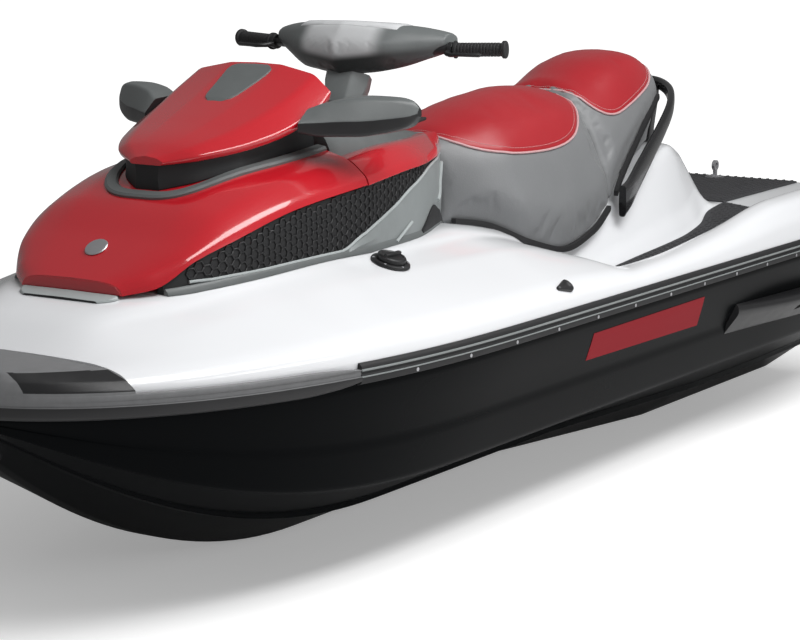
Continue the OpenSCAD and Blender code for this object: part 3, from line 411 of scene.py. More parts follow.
def block(name, low, high):
    """Box between two drawn corners."""
    (x0, y0, z0), (x1, y1, z1) = metres(*low), metres(*high)
    ring = [(y0, z0), (y1, z0), (y1, z1), (y0, z1)]
    return new_object(name, grid_mesh(name, [[(x, y, z) for y, z in ring] for x in (x0, x1)]))


def carve(obj, *cutters):
    """Cuts the cutters out of a closed piece, then deletes them."""
    for c in cutters:
        m = obj.modifiers.new("cut", "BOOLEAN")
        m.operation, m.object, m.solver = "DIFFERENCE", c, "EXACT"
        apply_modifiers(obj)
        bpy.data.objects.remove(c)
    return obj


def tube(name, points, radius, sides=12, closed=False):
    """Round tube through metre points; radius may be a list, one for each point."""
    pts = [Vector(p) for p in points]
    n, rings, up = len(pts), [], None
    for i, p in enumerate(pts):
        a = pts[(i - 1) % n] if closed else pts[max(i - 1, 0)]
        b = pts[(i + 1) % n] if closed else pts[min(i + 1, n - 1)]
        t = (b - a).normalized()
        if up is None:
            up = t.orthogonal().normalized()
        up = (up - t * up.dot(t)).normalized()
        side = t.cross(up)
        r = radius[i] if isinstance(radius, (list, tuple)) else radius
        rings.append([tuple(p + r * (math.cos(2 * math.pi * k / sides) * up
                                     + math.sin(2 * math.pi * k / sides) * side)) for k in range(sides)])
    if closed:
        rings.append(rings[0])
    mesh = grid_mesh(name, rings, caps=not closed)
    if closed:
        bm = bmesh.new()
        bm.from_mesh(mesh)
        bmesh.ops.remove_doubles(bm, verts=bm.verts, dist=1e-6)
        bmesh.ops.recalc_face_normals(bm, faces=bm.faces)
        bm.to_mesh(mesh)
        bm.free()
    return new_object(name, mesh)


def lathe(name, profile, centre, axis, sides=40):
    """Turned piece: profile is (distance along the axis, radius) from a metre centre."""
    axis = Vector(axis).normalized()
    u = axis.orthogonal().normalized()
    v = axis.cross(u)
    rings = [[tuple(Vector(centre) + axis * s + r * (math.cos(2 * math.pi * k / sides) * u
              + math.sin(2 * math.pi * k / sides) * v)) for k in range(sides)] for s, r in profile]
    return new_object(name, grid_mesh(name, rings))


def joined(name, objs):
    """One piece from several."""
    bm = bmesh.new()
    for o in objs:
        bm.from_mesh(o.data)
    mesh = bpy.data.meshes.new(name)
    bm.to_mesh(mesh)
    bm.free()
    for o in objs:
        bpy.data.objects.remove(o)
    return new_object(name, mesh)


def settle(obj, body, material, replaces=(), angle=32):
    """Finishes a piece: shading, material, the body it rides on and the nodes it stands for."""
    if angle:
        smooth_by_angle(obj, angle)
    if material is not None:
        obj.data.materials.clear()
        obj.data.materials.append(material)
    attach(obj, body)
    if replaces:
        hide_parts(*replaces)
    return obj


def surface_of(obj):
    bm = bmesh.new()
    bm.from_mesh(obj.data)
    tree = BVHTree.FromBMesh(bm)
    bm.free()
    return tree


def drop_on(tree, x, y, z=2.0):
    """Height in metres of the surface under a metre point, and its normal."""
    hit = tree.ray_cast(Vector((x, y, z)), Vector((0, 0, -1)))
    return (hit[0], hit[1]) if hit[0] is not None else (None, None)


# ------------------------------------------------------------------ shader tools
class Value:
    """A shader socket that takes part in Python expressions."""

    def __init__(self, shader, socket):
        self.shader, self.socket = shader, socket

    def math(self, operation, *values):
        return self.shader.node("ShaderNodeMath", {"operation": operation}, dict(enumerate(values)))[0]

    def __add__(self, other):
        return self.math("ADD", self, other)

    def __radd__(self, other):
        return self.math("ADD", other, self)

    def __sub__(self, other):
        return self.math("SUBTRACT", self, other)

    def __rsub__(self, other):
        return self.math("SUBTRACT", other, self)

    def __mul__(self, other):
        return self.math("MULTIPLY", self, other)

    def __rmul__(self, other):
        return self.math("MULTIPLY", other, self)

    def __truediv__(self, other):
        return self.math("DIVIDE", self, other)

    def __pow__(self, other):
        return self.math("POWER", self, other)


class Shader:
    """One material: node() makes any node, the rest are the finishes' shared steps."""

    def __init__(self, name):
        self.material = bpy.data.materials.new(name)
        self.material.use_nodes = True
        self.tree = self.material.node_tree
        self.bsdf = next(n for n in self.tree.nodes if n.type == "BSDF_PRINCIPLED")

    def node(self, kind, settings=None, inputs=None):
        node = self.tree.nodes.new(kind)
        for key, value in (settings or {}).items():
            if key == "stops":
                ramp = node.color_ramp
                while len(ramp.elements) < len(value):
                    ramp.elements.new(0.5)
                for element, (place, colour) in zip(ramp.elements, value):
                    element.position, element.color = place, colour
            else:
                setattr(node, key, value)
        for key, value in (inputs or {}).items():
            if isinstance(value, Value):
                self.tree.links.new(value.socket, node.inputs[key])
            else:
                node.inputs[key].default_value = value
        return [Value(self, s) for s in node.outputs]

    def place(self):
        return self.node("ShaderNodeTexCoord")[3]

    def noise(self, scale, detail=3.0, rough=0.5, where=None):
        return self.node("ShaderNodeTexNoise", None, {"Vector": where or self.place(), "Scale": scale,
                                                      "Detail": detail, "Roughness": rough})[0]

    def cells(self, scale, feature="F1", where=None):
        return self.node("ShaderNodeTexVoronoi", {"feature": feature},
                         {"Vector": where or self.place(), "Scale": scale})

    def stretched(self, x, y, z):
        return self.node("ShaderNodeMapping", None, {"Vector": self.place(), "Scale": (x, y, z)})[0]

    def tint(self, factor, a, b):
        """Mixes the second colour over the first, which may be a linked one."""
        under = a if isinstance(a, Value) else (*a, 1)
        out = self.node("ShaderNodeMix", {"data_type": "RGBA"}, {0: factor, 6: under, 7: (*b, 1)})
        return next(v for v in out if v.socket.type == "RGBA" and v.socket.enabled)

    def bump(self, height, strength, distance):
        return self.node("ShaderNodeBump", None,
                         {"Strength": strength, "Distance": distance, "Height": height})[0]

    def finish(self, colour=None, rough=None, metal=None, normal=None, **fixed):
        for name, value in (("Base Color", colour), ("Roughness", rough), ("Metallic", metal),
                            ("Normal", normal)):
            if isinstance(value, Value):
                self.tree.links.new(value.socket, self.bsdf.inputs[name])
            elif value is not None:
                self.bsdf.inputs[name].default_value = (*value, 1) if isinstance(value, tuple) else value
        for name, value in fixed.items():
            self.bsdf.inputs[name.replace("_", " ")].default_value = value
        return self.material


def shade(colour, factor):
    return tuple(clamp(c * factor, 0, 1) for c in colour)


def gelcoat(name, colour, rough=0.16, coat=0.6, ripple=0.02, ior=1.5):
    """Sprayed gloss shell: faint long ripple, fine peel, and slow changes of gloss."""
    s = Shader(name)
    slow = s.noise(3.0, 2.0)
    peel = s.noise(260.0, 2.0, 0.6)
    long_wave = s.noise(9.0, 1.0)
    return s.finish(colour=s.tint(slow, shade(colour, 0.97), shade(colour, 1.02)),
                    rough=rough + (slow - 0.5) * 0.06,
                    normal=s.bump(peel * 0.12 + long_wave, ripple, 0.002),
                    Coat_Weight=coat, Coat_Roughness=0.04, IOR=ior)


def metal_flake(name, colour, rough=0.22):
    """Deep red lacquer with fine flake under a clear coat."""
    s = Shader(name)
    flake = s.cells(2400.0)[1]
    sparkle = s.node("ShaderNodeSeparateColor", None, {"Color": flake})[0]
    slow = s.noise(4.0, 2.0)
    mask = (sparkle ** 6.0) * 0.35
    return s.finish(colour=s.tint(mask + slow * 0.15, colour, shade(colour, 1.7)),
                    rough=rough + (sparkle - 0.5) * 0.08,
                    normal=s.bump(s.noise(240.0, 2.0) * 0.1 + s.noise(8.0, 1.0), 0.02, 0.002),
                    Coat_Weight=0.9, Coat_Roughness=0.03, IOR=1.5)


def moulded(name, colour, rough=0.5, grain=900.0, depth=0.12):
    """Moulded plastic: fine spark-eroded grain with scuffed gloss."""
    s = Shader(name)
    pits = s.cells(grain)[0]
    scuff = s.noise(22.0, 5.0, 0.65)
    return s.finish(colour=s.tint(scuff, shade(colour, 0.86), shade(colour, 1.14)),
                    rough=rough + (scuff - 0.5) * 0.18,
                    normal=s.bump(pits * 0.7 + scuff * 0.3, depth, 0.0006))


def soft_rubber(name, colour, rough=0.72):
    s = Shader(name)
    dust = s.noise(40.0, 6.0, 0.7)
    pores = s.cells(1500.0)[0]
    return s.finish(colour=s.tint(dust, shade(colour, 0.8), shade(colour, 1.25)),
                    rough=rough + (dust - 0.5) * 0.14, normal=s.bump(pores, 0.2, 0.0005))


def vinyl(name, colour, rough=0.46):
    """Marine vinyl: pebbled grain cells, fine pores and faint stretch wrinkles."""
    s = Shader(name)
    pebble = s.cells(330.0, "SMOOTH_F1")[0]
    fine = s.noise(1400.0, 2.0)
    wrinkle = s.noise(26.0, 4.0, 0.6, s.stretched(1.0, 2.4, 1.0))
    tone = s.noise(7.0, 3.0)
    base = s.tint(tone * 0.7 + pebble * 0.3, shade(colour, 0.88), shade(colour, 1.1))
    return s.finish(colour=base, rough=rough + (wrinkle - 0.5) * 0.16 + (pebble - 0.4) * 0.08,
                    normal=s.bump(pebble * 0.6 + fine * 0.15 + wrinkle * 0.9, 0.3, 0.0011), Sheen_Weight=0.08)


def two_tone_pad(name, pale, dark):
    """Moulded pad: pale in the middle, dark wings, near black underneath."""
    s = Shader(name)
    _, y, z = s.node("ShaderNodeSeparateXYZ", None, {"Vector": s.place()})
    across = y.math("ABSOLUTE", y)
    wing = s.node("ShaderNodeMapRange", {"interpolation_type": "SMOOTHSTEP"},
                  {"Value": across, "From Min": 0.08, "From Max": 0.125})[0]
    under = s.node("ShaderNodeMapRange", {"interpolation_type": "SMOOTHSTEP"},
                   {"Value": z - across * 0.12, "From Min": 1.092, "From Max": 1.072})[0]
    top = s.tint(wing, pale, dark)
    pits = s.cells(1100.0)[0]
    scuff = s.noise(30.0, 4.0, 0.6)
    return s.finish(colour=s.tint(under, top, shade(dark, 0.25)), rough=0.36 + scuff * 0.12,
                    normal=s.bump(pits, 0.1, 0.0005))


def foam_mat(name, colour):
    s = Shader(name)
    speck = s.noise(900.0, 3.0, 0.7)
    worn = s.noise(12.0, 4.0)
    return s.finish(colour=s.tint(worn, shade(colour, 0.8), shade(colour, 1.3)), rough=0.86 + (speck - 0.5) * 0.1,
                    normal=s.bump(speck, 0.4, 0.0008))


def cast_metal(name, colour, rough=0.42):
    s = Shader(name)
    sand = s.noise(420.0, 4.0, 0.7)
    stain = s.noise(18.0, 4.0, 0.6)
    return s.finish(colour=s.tint(stain, shade(colour, 0.75), shade(colour, 1.1)),
                    rough=rough + (stain - 0.5) * 0.3, metal=0.92, normal=s.bump(sand, 0.25, 0.0008))


def drawn_steel(name, colour, rough=0.22):
    s = Shader(name)
    lines = s.noise(90.0, 3.0, 0.6, s.stretched(1.0, 14.0, 14.0))
    return s.finish(colour=s.tint(lines, shade(colour, 0.88), shade(colour, 1.08)),
                    rough=rough + (lines - 0.5) * 0.16, metal=1.0, normal=s.bump(lines, 0.08, 0.0003))


# ------------------------------------------------------------------ sizes and colours
def colour_prop(name, description, default):
    return bpy.props.FloatVectorProperty(name=name, description=description, subtype="COLOR", size=3,
                                         min=0.0, max=1.0, default=default)


class WatercraftColours(bpy.types.PropertyGroup):
    """Colours of the shells, trims and upholstery."""

    deck: colour_prop("Deck", "Gelcoat of the deck", (0.84, 0.85, 0.87))
    hull: colour_prop("Hull", "Gelcoat of the hull", (0.004, 0.0045, 0.005))
    hood: colour_prop("Hood", "Lacquer of the hood and visor", (0.47, 0.010, 0.018))
    seat_side: colour_prop("Seat side", "Vinyl of the seat flanks", (0.19, 0.195, 0.2))
    seat_top: colour_prop("Seat top", "Vinyl of the seat inserts", (0.38, 0.008, 0.015))
    # The piping colour is a pale pink that paints the glossy highlight along the edges of the seat inserts.
    piping_highlight: colour_prop("Piping highlight", "Cord around the seat inserts", (0.60, 0.36, 0.37))
    bumper: colour_prop("Bumper", "Rubber of the bow bumper", (0.17, 0.172, 0.176))
    mat: colour_prop("Mat", "Foam of the deck mats", (0.035, 0.035, 0.038))
    trim: colour_prop("Trim", "Grey moulded trim", (0.12, 0.13, 0.13))
    silver: colour_prop("Silver", "Centre of the handlebar pad", (0.62, 0.63, 0.64))


class WatercraftSizes(bpy.types.PropertyGroup):
    """Sizes of the repeated details, in metres."""

    cell: bpy.props.FloatProperty(name="Vent cell", description="Pitch of the vent honeycomb", default=0.021,
                                  min=0.012, max=0.05, unit="LENGTH")
    stitch: bpy.props.FloatProperty(name="Stitch", description="Pitch of the seat stitches", default=0.0065,
                                    min=0.004, max=0.02, unit="LENGTH")
    tread: bpy.props.FloatProperty(name="Tread", description="Pitch of the mat's raised pads", default=0.027,
                                   min=0.015, max=0.06, unit="LENGTH")
    screw: bpy.props.FloatProperty(name="Screw", description="Pitch of the rail screws", default=0.19,
                                   min=0.08, max=0.4, unit="LENGTH")
    swell: bpy.props.FloatProperty(name="Seat swell", description="Most that the seat foam swells under its cover",
                                   default=0.008, min=0.0, max=0.02, unit="LENGTH")


def colours():
    return bpy.context.scene.watercraft_colours


def sizes():
    return bpy.context.scene.watercraft_sizes


FINISHES = {
    "hull gelcoat": lambda c: gelcoat("hull gelcoat", tuple(c.hull), 0.26, 0.0, 0.03, 1.08),
    "deck gelcoat": lambda c: gelcoat("deck gelcoat", tuple(c.deck), 0.2, 0.5, 0.02),
    "red lacquer": lambda c: metal_flake("red lacquer", tuple(c.hood)),
    "grey trim": lambda c: moulded("grey trim", tuple(c.trim), 0.42),
    "mid trim": lambda c: moulded("mid trim", shade(tuple(c.trim), 1.9), 0.4),
    "light trim": lambda c: moulded("light trim", shade(tuple(c.trim), 3.2), 0.4),
    "black trim": lambda c: moulded("black trim", (0.014, 0.014, 0.015), 0.4),
    "matt black": lambda c: moulded("matt black", (0.009, 0.009, 0.01), 0.62),
    "silver pad": lambda c: moulded("silver pad", tuple(c.silver), 0.34, 1200.0, 0.08),
    "two tone pad": lambda c: two_tone_pad("two tone pad", shade(tuple(c.silver), 0.85), shade(tuple(c.trim), 1.1)),
    "bumper rubber": lambda c: soft_rubber("bumper rubber", tuple(c.bumper), 0.55),
    "gloss black": lambda c: gelcoat("gloss black", (0.010, 0.010, 0.011), 0.18, 0.8, 0.02),
    "black rubber": lambda c: soft_rubber("black rubber", (0.013, 0.013, 0.014)),
    "grey vinyl": lambda c: vinyl("grey vinyl", tuple(c.seat_side)),
    "red vinyl": lambda c: vinyl("red vinyl", tuple(c.seat_top), rough=0.4),
    # Pale pink of the seat cord and stitches: painted highlight along the inserts' edges.
    "painted highlight cord": lambda c: vinyl("painted highlight cord", tuple(c.piping_highlight)),
    "foam mat": lambda c: foam_mat("foam mat", tuple(c.mat)),
    "cast alloy": lambda c: cast_metal("cast alloy", (0.5, 0.51, 0.52)),
    "painted iron": lambda c: moulded("painted iron", (0.06, 0.062, 0.066), 0.5, 300.0, 0.3),
    "steel": lambda c: drawn_steel("steel", (0.66, 0.66, 0.67)),
    "mirror": lambda c: drawn_steel("mirror", (0.86, 0.88, 0.9), 0.06),
    "red film": lambda c: gelcoat("red film", (0.30, 0.010, 0.018), 0.4, 0.0, 0.02, 1.1),
    "screen": lambda c: gelcoat("screen", (0.02, 0.03, 0.035), 0.1, 1.0),
}


def finish_of(name):
    return bpy.data.materials.get(name) or FINISHES[name](colours())


# ------------------------------------------------------------------ repeated details
class Nodes:
    """A geometry tree with named inputs, ending in Realize Instances and Set Material."""

    def __init__(self, name, inputs):
        self.tree = bpy.data.node_groups.new(name, "GeometryNodeTree")
        face = self.tree.interface
        face.new_socket("Geometry", in_out="INPUT", socket_type="NodeSocketGeometry")
        self.ids = {}
        for label, default in inputs.items():
            s = face.new_socket(label, in_out="INPUT", socket_type="NodeSocketFloat")
            s.default_value = default
            self.ids[label] = s.identifier
        face.new_socket("Geometry", in_out="OUTPUT", socket_type="NodeSocketGeometry")
        self.input = self.tree.nodes.new("NodeGroupInput")

    def node(self, kind, settings=None, inputs=None):
        node = self.tree.nodes.new(kind)
        for key, value in (settings or {}).items():
            setattr(node, key, value)
        for key, value in (inputs or {}).items():
            if isinstance(value, bpy.types.NodeSocket):
                self.tree.links.new(value, node.inputs[key])
            else:
                node.inputs[key].default_value = value
        return node

    def end(self, instances, material):
        real = self.node("GeometryNodeRealizeInstances", None, {"Geometry": instances})
        done = self.node("GeometryNodeSetMaterial", None, {"Geometry": real.outputs[0], "Material": material})
        out = self.tree.nodes.new("NodeGroupOutput")
        self.tree.links.new(done.outputs[0], out.inputs[0])


def scattered(name, points, material, build, **inputs):
    """One mesh of copies: points are (metre place, turn as three angles, size); build draws one copy."""
    mesh = bpy.data.meshes.new(name)
    mesh.from_pydata([p[0] for p in points], [], [])
    mesh.attributes.new("turn", "FLOAT_VECTOR", "POINT")
    mesh.attributes.new("size", "FLOAT", "POINT")
    mesh.attributes["turn"].data.foreach_set("vector", [v for p in points for v in p[1]])
    mesh.attributes["size"].data.foreach_set("value", [p[2] for p in points])
    obj = new_object(name, mesh)
    g = Nodes(name, inputs)
    copy = build(g)
    turned = g.node("GeometryNodeInputNamedAttribute", {"data_type": "FLOAT_VECTOR"}, {"Name": "turn"})
    sized = g.node("GeometryNodeInputNamedAttribute", {"data_type": "FLOAT"}, {"Name": "size"})
    rotation = g.node("FunctionNodeEulerToRotation", None, {0: turned.outputs[0]})
    placed = g.node("GeometryNodeInstanceOnPoints", None,
                    {"Points": g.input.outputs[0], "Instance": copy, "Rotation": rotation.outputs[0],
                     "Scale": sized.outputs[0]})
    g.end(placed.outputs[0], material)
    m = obj.modifiers.new("copies", "NODES")
    m.node_group = g.tree
    for label, value in inputs.items():
        m[g.ids[label]] = float(value)
    apply_modifiers(obj)
    return obj


def turn_to(normal, along=(1, 0, 0)):
    """Three angles that turn +Z to the normal and +X as near as can be to the given direction."""
    z = Vector(normal).normalized()
    x = Vector(along)
    x = (x - z * x.dot(z)).normalized()
    y = z.cross(x)
    return tuple(Matrix((x, y, z)).transposed().to_euler())


def screw_copy(g):
    head = g.node("GeometryNodeMeshCylinder", None, {"Vertices": 12, "Radius": g.input.outputs["Radius"],
                                                     "Depth": g.input.outputs["Height"]})
    slot = g.node("GeometryNodeMeshCylinder", None, {"Vertices": 6, "Radius": 0.0019, "Depth": 0.0002})
    up = g.node("ShaderNodeMath", {"operation": "MULTIPLY"}, {0: g.input.outputs["Height"], 1: 0.56})
    place = g.node("ShaderNodeCombineXYZ", None, {2: up.outputs[0]})
    lifted = g.node("GeometryNodeTransform", None, {"Geometry": slot.outputs[0], "Translation": place.outputs[0]})
    both = g.node("GeometryNodeJoinGeometry")
    g.tree.links.new(head.outputs[0], both.inputs[0])
    g.tree.links.new(lifted.outputs[0], both.inputs[0])
    return both.outputs[0]


def cell_copy(g):
    """One hexagonal cell wall."""
    ring = g.node("GeometryNodeMeshCircle", None, {"Vertices": 6, "Radius": g.input.outputs["Radius"]})
    path = g.node("GeometryNodeMeshToCurve", None, {"Mesh": ring.outputs[0]})
    shape = g.node("GeometryNodeCurvePrimitiveCircle", None, {"Resolution": 4, "Radius": g.input.outputs["Wall"]})
    return g.node("GeometryNodeCurveToMesh", None,
                  {"Curve": path.outputs[0], "Profile Curve": shape.outputs["Curve"]}).outputs[0]


def pad_copy(g):
    """One raised tread pad with sloping edges."""
    cone = g.node("GeometryNodeMeshCone", None, {"Vertices": 4, "Radius Bottom": g.input.outputs["Radius"],
                                                 "Radius Top": g.input.outputs["Top"],
                                                 "Depth": g.input.outputs["Height"]})
    return g.node("GeometryNodeTransform", None, {"Geometry": cone.outputs[0], "Scale": (1.5, 0.72, 1.0)}).outputs[0]


def stitch_copy(g):
    rod = g.node("GeometryNodeMeshCylinder", None, {"Vertices": 6, "Radius": g.input.outputs["Radius"],
                                                    "Depth": g.input.outputs["Length"]})
    return g.node("GeometryNodeTransform", None,
                  {"Geometry": rod.outputs[0], "Rotation": (0, math.pi / 2, 0)}).outputs[0]


def patch(name, tree, stations, edge, lift, sink, across=16, crown=0.0, edge_fall=0.0):
    """Thin conforming panel: each station x is half width edge(x), dropped on a surface from above."""
    top, low = [], []
    n = len(stations)
    for i, x in enumerate(stations):
        w, row_top, row_low = edge(x), [], []
        for k in range(across + 1):
            s = -1 + 2 * k / across
            px, py, _ = metres(x, w * math.sin(s * math.pi / 2), 0)
            hit, _ = drop_on(tree, px, py)
            z = hit.z
            rim = min(1 - abs(s), 2 * i / (n - 1), 2 * (n - 1 - i) / (n - 1))
            rise = lift + crown * min(1, 2.0 * rim) - edge_fall * max(0, 1 - rim * 9) ** 2
            row_top.append((px, py, z + rise))
            row_low.append((px, py, z - sink))
        top.append(row_top)
        low.append(row_low)
    rings = [t + l[::-1] for t, l in zip(top, low)]
    return new_object(name, grid_mesh(name, rings))


# ------------------------------------------------------------------ hull
def bow_stations(first, last, n):
    """Stations that crowd towards the bow tip, from drawing angle first to last, in degrees."""
    return [-BOW * (1 - math.sin(math.radians(a))) for a in span(first, last, n)]


class WATERCRAFT_OT_hull(bpy.types.Operator):
    """Black V hull with its chines, strakes, jet tunnel and engine well"""

    bl_idname = "watercraft.hull"
    bl_label = "Hull"

    def execute(self, context):
        radii = [0, 8, 3, 3, 6, 5, 7, 9, 9, 40, 6, 0, 0, 0, 0]
        xs = span(-3480, -1300, 60)[:-1] + bow_stations(0, 90, 44)
        hull = loft("hull_form", xs, lambda x: whole(rounded(hull_half(x), radii, 3)))
        well = -2560, -1860
        carve(hull,
              block("tunnel", (-3600, -150, -10), (TUNNEL, 150, 310)),
              block("plate_seat", (-3600, -176, -10), (TUNNEL, 176, 12)),
              block("grate_seat", (TUNNEL + 84, -92, -10), (TUNNEL + 436, 92, 6)),
              block("intake", (TUNNEL + 104, -78, -5), (TUNNEL + 416, 78, 120)),
              block("engine_well", (well[0], -165, 92), (well[1], 165, 600)))
        settle(hull, "craft", finish_of("hull gelcoat"), ("hull_shell",), 24)
        return {"FINISHED"}


class WATERCRAFT_OT_stripe(bpy.types.Operator):
    """Plain slanted colour film on each hull side"""

    bl_idname = "watercraft.stripe"
    bl_label = "Side stripe"

    def execute(self, context):
        rings = []
        for x in span(-2240, -1630, 30):
            low, high = curve([(-2240, 358), (-1630, 366)], x), curve([(-2240, 444), (-1630, 440)], x)
            t = (x + 2240) / 610
            row = []
            for k in range(9):
                z = mix(low, high, k / 8)
                px = x + 44 * (k / 8) * (1 - 0.4 * t)
                row.append((px, z))
            rings.append([metres(px, side_y(px, z) + 0.9, z) for px, z in row]
                         + [metres(px, side_y(px, z) + 0.1, z) for px, z in reversed(row)])
        film = mirror_copy(new_object("side_stripe", grid_mesh("side_stripe", rings)))
        settle(film, "craft", finish_of("red film"))
        return {"FINISHED"}


# ------------------------------------------------------------------ deck
DECK_RADII = [0, 0, 0, 0, 4, 12, 20, 30, 16, 18, 16, 24, 26, 0]


def deck_ring(x):
    r = rail_y(x) - RAIL_DEPTH
    half = [(0, tray(x)), (0.8 * r, tray(x)), (0.86 * r, RAIL), (r, RAIL)] + deck_top(x)
    return whole(rounded(half, DECK_RADII, 4))


class WATERCRAFT_OT_deck(bpy.types.Operator):
    """White deck with its gunwales, footwells, seat pedestal and stern platform"""

    bl_idname = "watercraft.deck"
    bl_label = "Deck"

    def execute(self, context):
        xs = span(-3540, -1300, 112)[:-1] + bow_stations(0, 60, 30)
        deck = loft("deck_form", xs, deck_ring)
        carve(deck,
              block("seat_opening", (-2560, -165, TRAY - 10), (-1860, 165, 1000)),
              block("storage_well", (-996, -186, RAIL - 90), (-524, 186, 820)),
              block("step_pocket", (-3600, -215, RAIL - 80), (-3480, 215, RAIL - 10)))
        settle(deck, "craft", finish_of("deck gelcoat"), ("deck",), 28)
        return {"FINISHED"}


class WATERCRAFT_OT_mats(bpy.types.Operator):
    """Foam mats in the footwells and on the stern platform, with raised tread pads"""

    bl_idname = "watercraft.mats"
    bl_label = "Deck mats"

    def execute(self, context):
        def side_mat(x):
            h = deck_top(x)
            a, b = h[4], h[5]
            p = [mix(a[i], b[i], 0.04) for i in (0, 1)]
            q = [mix(a[i], b[i], 0.96) for i in (0, 1)]
            ring = [(q[0], q[1] + 0.9), (p[0], p[1] + 0.9), (p[0], p[1] + 5.9), (q[0], q[1] + 5.9)]
            return rounded(ring, [0, 0, 2, 2], 2, closed=True)

        foot = [x for x in span(-3540, -1300, 160) if -2995 < x < -1905]
        stern = [x for x in span(-3540, -1300, 160) if -3530 < x < -3005]

        def stern_mat(x):
            w = deck_top(x)[5][0]
            z = max(deck_z(x, 0), deck_z(x, w))
            return whole([(w, z + 0.3), (w, z + 3.4), (w - 2, z + 5.3)])

        mats = joined("mats", [mirror_copy(loft("foot_mat", foot, side_mat)), loft("stern_mat", stern, stern_mat)])
        settle(mats, "craft", finish_of("foam mat"), ("deck_mats",))
        pitch = sizes().tread
        points = []
        rows = int(1.6 / (pitch * 0.5))
        for i in range(rows):
            x = -3520 + i * pitch * 500
            if x > -1920:
                break
            h = deck_top(x)
            if -3012 < x < -2980:
                continue
            outer, inner = (h[5][0] - 14, -h[5][0] + 14) if x < -3005 else (mix(h[4][0], h[5][0], 0.1),
                                                                           mix(h[4][0], h[5][0], 0.9))
            y = outer - (i % 2) * pitch * 500
            while y > inner:
                if x < -3005:
                    z, n = max(deck_z(x, 0), deck_z(x, h[5][0])) + 5.3, (0, 0, 1)
                    points.append((metres(x, y, z), turn_to(n), 1.0))
                else:
                    t = (h[4][0] - y) / max(h[4][0] - h[5][0], 1)
                    z = mix(h[4][1], h[5][1], t) + 5.9
                    fore, aft = deck_top(x + 20), deck_top(x - 20)
                    pitch_up = (mix(fore[4][1], fore[5][1], t) - mix(aft[4][1], aft[5][1], t)) / 40
                    roll = (h[4][1] - h[5][1]) / max(h[4][0] - h[5][0], 1)
                    for s in (1, -1):
                        points.append((metres(x, s * y, z), turn_to((-pitch_up, -s * roll, 1)), 1.0))
                y -= pitch * 1000
        pads = scattered("mat_tread", points, finish_of("foam mat"), pad_copy,
                         Radius=pitch * 0.30, Top=pitch * 0.24, Height=0.0022)
        settle(pads, "craft", None, angle=0)
        return {"FINISHED"}


# ------------------------------------------------------------------ bow bumper and rails
class WATERCRAFT_OT_bumper(bpy.types.Operator):
    """Grey bow bumper with dark corner facets and a lip that sweeps aft along the joint"""

    bl_idname = "watercraft.bumper"
    bl_label = "Bow bumper"

    def execute(self, context):
        def cap(x):
            y = rail_y(x)
            return whole(rounded([(0, RAIL), (y - RAIL_DEPTH, RAIL), (y - 1, RAIL + 2), (y - 1, RAIL + 16),
                                  (y * 0.94 - 4, RAIL + 34), (y * 0.8 - 6, RAIL + 52), (y * 0.45, RAIL + 60),
                                  (0, RAIL + 62)], [0, 0, 3, 4, 4, 5, 40, 0], 3))

        def lip(x):
            y = rail_y(x)
            t = clamp((x + 640) / 120, 0, 1) ** 0.5
            low = mix(-30, -42, t)
            return rounded([(y - RAIL_DEPTH - 1, RAIL + low), (y, RAIL + low + 6), (y, RAIL - 12),
                            (y - 4, RAIL - 16), (y - 4, RAIL - 4), (y, RAIL), (y, RAIL + 9 * t),
                            (y - 5, RAIL + 12 * t), (y - RAIL_DEPTH - 1, RAIL + 1)],
                           [0, 4, 3, 0, 0, 3, 3, 2, 0], 2, closed=True)

        top = loft("bumper_cap", bow_stations(60, 90, 24), cap)
        rim = mirror_copy(loft("bumper_lip", bow_stations(30, 90, 48), lip))
        bumper = joined("bow_buffer", [top, rim])
        smooth_by_angle(bumper, 30)
        bumper.data.materials.append(finish_of("bumper rubber"))
        bumper.data.materials.append(finish_of("black trim"))
        for f in bumper.data.polygons:
            c = f.center
            x, z = c.x * 1000 - LENGTH / 2, c.z * 1000
            if z < RAIL - 15 or (-235 < x < -36 and RAIL + 14 < z < RAIL + 57 and abs(f.normal.y) > 0.3):
                f.material_index = 1
        settle(bumper, "craft", None, ("bow_bumper",), 0)
        return {"FINISHED"}


class WATERCRAFT_OT_rails(bpy.types.Operator):
    """Rub rails: a dark moulding with two pale beads and its screws"""

    bl_idname = "watercraft.rails"
    bl_label = "Rub rails"

    def execute(self, context):
        xs = span(-3505, -1300, 70)[:-1] + bow_stations(0, 30, 16)

        def rail(x):
            y = rail_y(x)
            return rounded([(y - RAIL_DEPTH, RAIL - 34), (y - 3, RAIL - 30), (y - 1, RAIL - 14),
                            (y - 5, RAIL - 8), (y - 1, RAIL - 2), (y - 3, RAIL + 8), (y - 11.4, RAIL + 14),
                            (y - RAIL_DEPTH + 0.3, RAIL)], [0, 3, 2, 2, 2, 3, 2, 0], 2, closed=True)

        base = mirror_copy(loft("rail_base", xs, rail))
        settle(base, "craft", finish_of("matt black"), ("rub_rails",))
        beads = []
        for drop, r in ((-1.5, 2.9), (-15.5, 1.6)):
            pts = [metres(x, rail_y(x) - r * 0.9, RAIL + drop) for x in xs]
            beads.append(tube("bead", pts, r / 1000, 8))
        beads = mirror_copy(joined("rail_beads", beads))
        settle(beads, "craft", finish_of("mid trim"))
        points = []
        x = -3480.0
        while x < -660:
            y, slope = rail_y(x), (rail_y(x + 5) - rail_y(x - 5)) / 10
            for s in (1, -1):
                points.append((metres(x, s * (y - 2.6), RAIL - 24), turn_to((-slope, s, 0)), 1.0))
            x += sizes().screw * 1000
        screws = scattered("rail_screws", points, finish_of("steel"), screw_copy, Radius=0.0042, Height=0.0022)
        settle(screws, "craft", None, angle=0)
        return {"FINISHED"}


